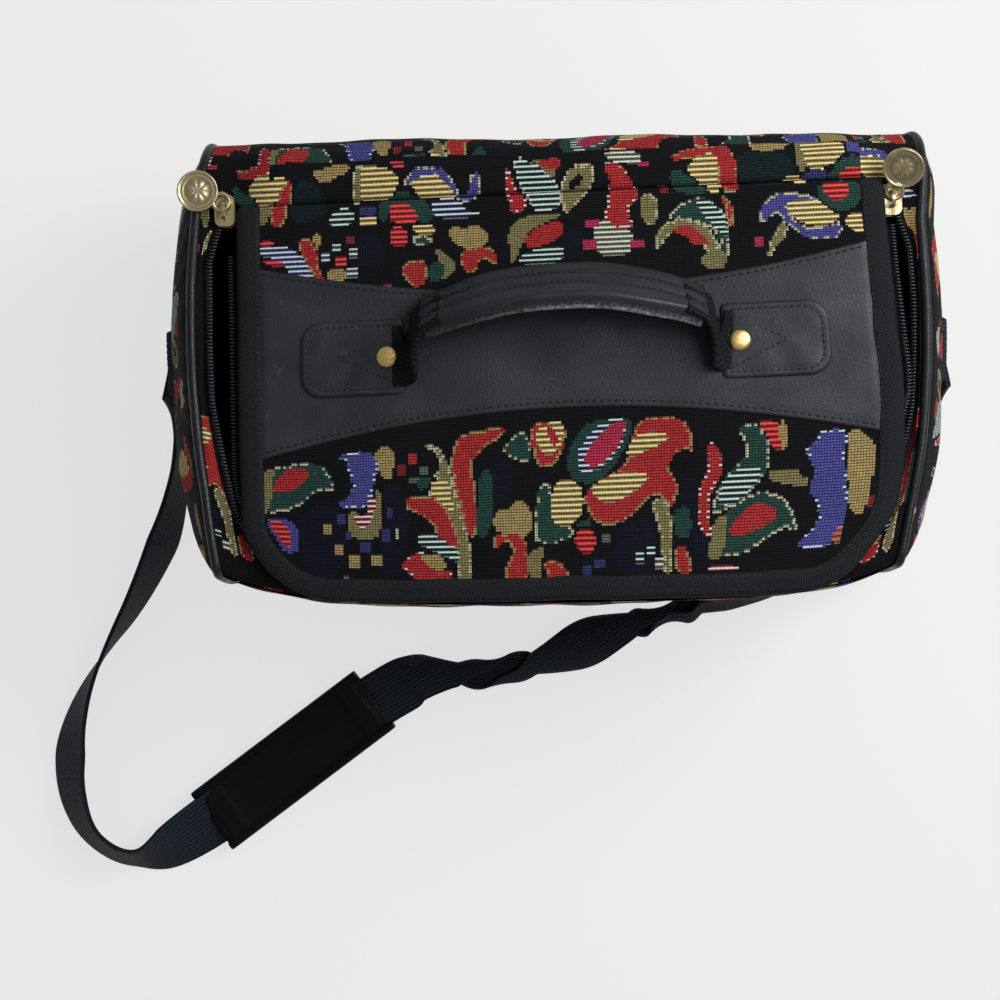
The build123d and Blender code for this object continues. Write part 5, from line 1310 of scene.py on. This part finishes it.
def build_strap():
    curve = bpy.data.curves.new("strap_route", "CURVE")
    curve.dimensions = "3D"
    spline = curve.splines.new("NURBS")
    spline.points.add(len(ROUTE) - 1)
    for point, co in zip(spline.points, ROUTE):
        point.co = (co[0] * MM, co[1] * MM, co[2] * MM, 1)
    spline.order_u = 3
    spline.use_endpoint_u = True
    spline.resolution_u = 20
    holder = add_object("strap_route", curve)
    traced = bpy.data.meshes.new_from_object(holder)
    mid = np.array([v.co for v in traced.vertices]) / MM
    bpy.data.objects.remove(holder)
    bpy.data.meshes.remove(traced)
    knots = np.linspace(0, 1, len(mid)) * (len(ROUTE) - 1)
    s = along(mid)
    length = s[-1]
    turn = np.interp(knots, np.arange(len(ROLL)), ROLL)
    twist = np.interp(mid[:, 0], *np.array(TWIST).T)
    turn = np.radians(np.where(knots > 15, twist, turn))
    for _ in range(10):
        turn[1:-1] = (turn[:-2] + 2 * turn[1:-1] + turn[2:]) / 4
    tan = unit(np.gradient(mid, axis=0))
    right = unit(np.cross(tan, [0.0, 0.0, 1.0]))
    above = np.cross(right, tan)
    a = np.linspace(-1, 1, 19)
    half, thick = 14.0, 0.95
    slant = step(-84, -70, mid[:, 0]) * (knots > 15) * FOLD
    phi = np.interp(s[:, None] + slant[:, None] * half * a[None], s, turn)[..., None]
    w = np.cos(phi) * right[:, None] + np.sin(phi) * above[:, None]
    # along the twist the webbing is centred on its route again and lies flatter than it is wide
    off = w * (half * a)[None, :, None]
    sway = (off * right[:, None]).sum(-1)
    off -= right[:, None] * (0.9 * (sway.max(1) + sway.min(1)) / 2 * slant / FOLD)[:, None, None]
    off[..., 2] *= 1 - 0.5 * (step(-84, -60, mid[:, 0]) * step(104, 76, mid[:, 0]) * (knots > 15))[:, None]
    rows = mid[:, None] + off
    rows[..., 2] += np.clip(1.2 - rows[..., 2].min(1), 0, 9.0)[:, None]
    edge = unit(np.gradient(rows, axis=1))
    nrm = unit(np.cross(tan[:, None], edge))
    v = np.concatenate([rows + nrm * thick, (rows - nrm * thick)[:, ::-1]], 1)
    uv = grid_uv(s, np.concatenate([a, a[::-1]]) * half)
    strap = add_mesh("strap_webbing", v.reshape(-1, 3), capped_faces(len(mid), v.shape[1]), WEBBING, uv)
    finish_piece(strap, "case", ["shoulder_strap"])

    # sleeve pad
    run = np.array([0.809, 0.5878, 0.0])
    across = np.array([-0.5878, 0.809, 0.0])
    mid_pad = np.array([-136.115, -188.3, 0.0])
    sec = [(17.2, 1.0), (18.0, 4.0), (18.0, 8.6), (17.4, 10.6), (16.2, 11.3), (14.8, 10.9), (13.9, 9.9), (12.0, 9.7),
           (8.0, 10.0), (4.0, 10.2), (0.0, 10.3)]
    sec += [(-y, z) for y, z in sec[-2::-1]]
    sec += [(-16.0, 0.4), (-8.0, 0.3), (0.0, 0.3), (8.0, 0.3), (16.0, 0.4)]
    sec = np.array(sec)
    xs = np.concatenate([[-52, -51.9, -51.4, -50.2, -48], np.linspace(-46, -34, 9), np.linspace(-32, 32, 22),
                         np.linspace(34, 46, 9), [48, 50.2, 51.4, 51.9, 52]])
    end = 52 - np.abs(xs)
    scale = 0.86 + 0.14 * round_edge(end, 3.0)
    v = np.zeros((len(xs), len(sec), 3))
    for i, x in enumerate(xs):
        y = sec[:, 0] * (0.93 + 0.07 * scale[i])
        z = (sec[:, 1] - 5.5) * scale[i] + 5.5
        inner = np.abs(sec[:, 0]) < 14
        band = 0.55 * step(3.2, 4.0, end[i]) * step(15.2, 14.4, end[i])
        z = z + inner * (sec[:, 1] > 6) * (band - 2.0 * (1 - step(2.5, 4.0, end[i])))
        v[i] = mid_pad + x * run + y[:, None] * across + z[:, None] * np.array([0, 0, 1.0])
    faces = [f[::-1] for f in capped_faces(len(xs), len(sec))]
    pad = add_mesh("pad_vinyl", v.reshape(-1, 3), faces, VINYL, smooth=[len(f) == 4 for f in faces])
    finish_piece(pad, "case", ["shoulder_pad"])
    return length


def on_end(side, y, z, up):
    """Points on an end panel."""
    d, _ = edge_distance(y, z, OUTLINE)
    return settle(np.stack([side * (END_X - SEAT + end_rise(d) * (1 + SEAT / BULGE) + up + 0.2), y, z], -1))


def build_strap_tabs():
    """Patches that hold the strap's ends."""
    y = np.linspace(-9.5, 23.5, 34)
    z = np.linspace(81, 121, 40)
    Y, Z = np.meshgrid(y, z)
    edge = np.minimum.reduce([16.5 - np.abs(Y - 7), 121 - Z, Z - 81])
    lift = 2.3 * round_edge(edge, 1.6) - 0.35 * np.exp(-((edge - 2.8) / 0.7) ** 2)
    for side, label in SIDES:
        uv = np.stack([Z, Y], -1).reshape(-1, 2)
        faces = grid_faces(len(z), len(y))
        P = on_end(side, Y, Z, lift).reshape(-1, 3)
        ob = add_mesh(label + "_strap_patch", P, faces if side > 0 else faces[:, ::-1], WEBBING, uv)
        finish_piece(ob, "case", [label + "_strap_tab"])
        rows = []
        for p in (((-6.6, 83.6), (20.6, 83.6), (20.6, 118.4), (-6.6, 118.4), (-6.6, 83.6)), ((-6.6, 92), (20.6, 118.4)),
                  ((20.6, 92), (-6.6, 118.4))):
            q = even(np.array(p), 1.0)
            rows.append((on_end(side, q[:, 0], q[:, 1], 2.05), (side, 0, 0)))
        finish_piece(stitches(label + "_strap_stitches", rows, 2.8, 2.0, 0.36), "case")


# ---------------------------------------------------------------- light, floor and camera
def build_stage():
    floor_shader = Shader("floor", lin(236, 236, 236), 0.9, spec=0.1)
    floor_mat, nt = floor_shader.mat, floor_shader.nt
    path = nt.nodes.new("ShaderNodeLightPath")
    seen = floor_shader.math("MAXIMUM", path.outputs["Is Camera Ray"], path.outputs["Is Glossy Ray"])
    seen = floor_shader.math("MAXIMUM", seen, path.outputs["Is Transmission Ray"])
    glow = nt.nodes.new("ShaderNodeEmission")
    glow.inputs["Color"].default_value = tuple(float(c) for c in lin(238, 238, 237)) + (1,)
    both = nt.nodes.new("ShaderNodeMixShader")
    nt.links.new(floor_shader.math("MULTIPLY", seen, 0.8), both.inputs[0])
    nt.links.new(floor_shader.bsdf.outputs[0], both.inputs[1])
    nt.links.new(glow.outputs[0], both.inputs[2])
    nt.links.new(both.outputs[0], nt.nodes["Material Output"].inputs["Surface"])
    s, z = 15000.0, -0.4  # the floor's half size and height, in mm
    floor = add_mesh("floor", [[-s, -s, z], [s, -s, z], [s, s, z], [-s, s, z]], [[0, 1, 2, 3]], floor_mat)
    world = bpy.data.worlds.new("studio")
    bpy.context.scene.world = world
    world.use_nodes = True
    nt = world.node_tree
    bg = nt.nodes["Background"]
    bg.inputs["Color"].default_value = (0.93, 0.96, 1.0, 1)
    bg.inputs["Strength"].default_value = 0.36
    for name, place, aim, size, power in (
        ("key", (0.7, 0.34, 0.85), (0.06, 0.0, 0.12), 0.55, 11.0),
        ("fill", (0.42, 0.08, 1.15), (0.1, 0.0, 0.12), 0.4, 2.2),
    ):
        data = bpy.data.lights.new(name, "AREA")
        data.size, data.energy = size, power
        lamp = add_object(name, data)
        d = np.array(aim) - np.array(place)
        lamp.location = place
        lamp.visible_camera = False
        lamp.rotation_euler = Vector(d).to_track_quat("-Z", "Y").to_euler()
    data = bpy.data.cameras.new("camera")
    data.lens, data.sensor_width = 77.7, 36.0
    data.clip_end = 20
    camera = add_object("camera", data)
    camera.location = (-0.028, -0.057, 1.112)
    camera.rotation_euler = (0, 0, math.radians(-1.0))
    bpy.context.scene.camera = camera
    bpy.context.scene.view_settings.view_transform = "Standard"


for build in (build_walls, build_base, build_gussets, build_ends, build_piping, build_lining, build_zip, build_lid,
              build_binding, build_lid_lining, build_yoke, build_tabs, build_rivets, build_grip, build_loops,
              build_pulls):
    build()
STRAP_LENGTH = build_strap()
build_strap_tabs()
build_stage()
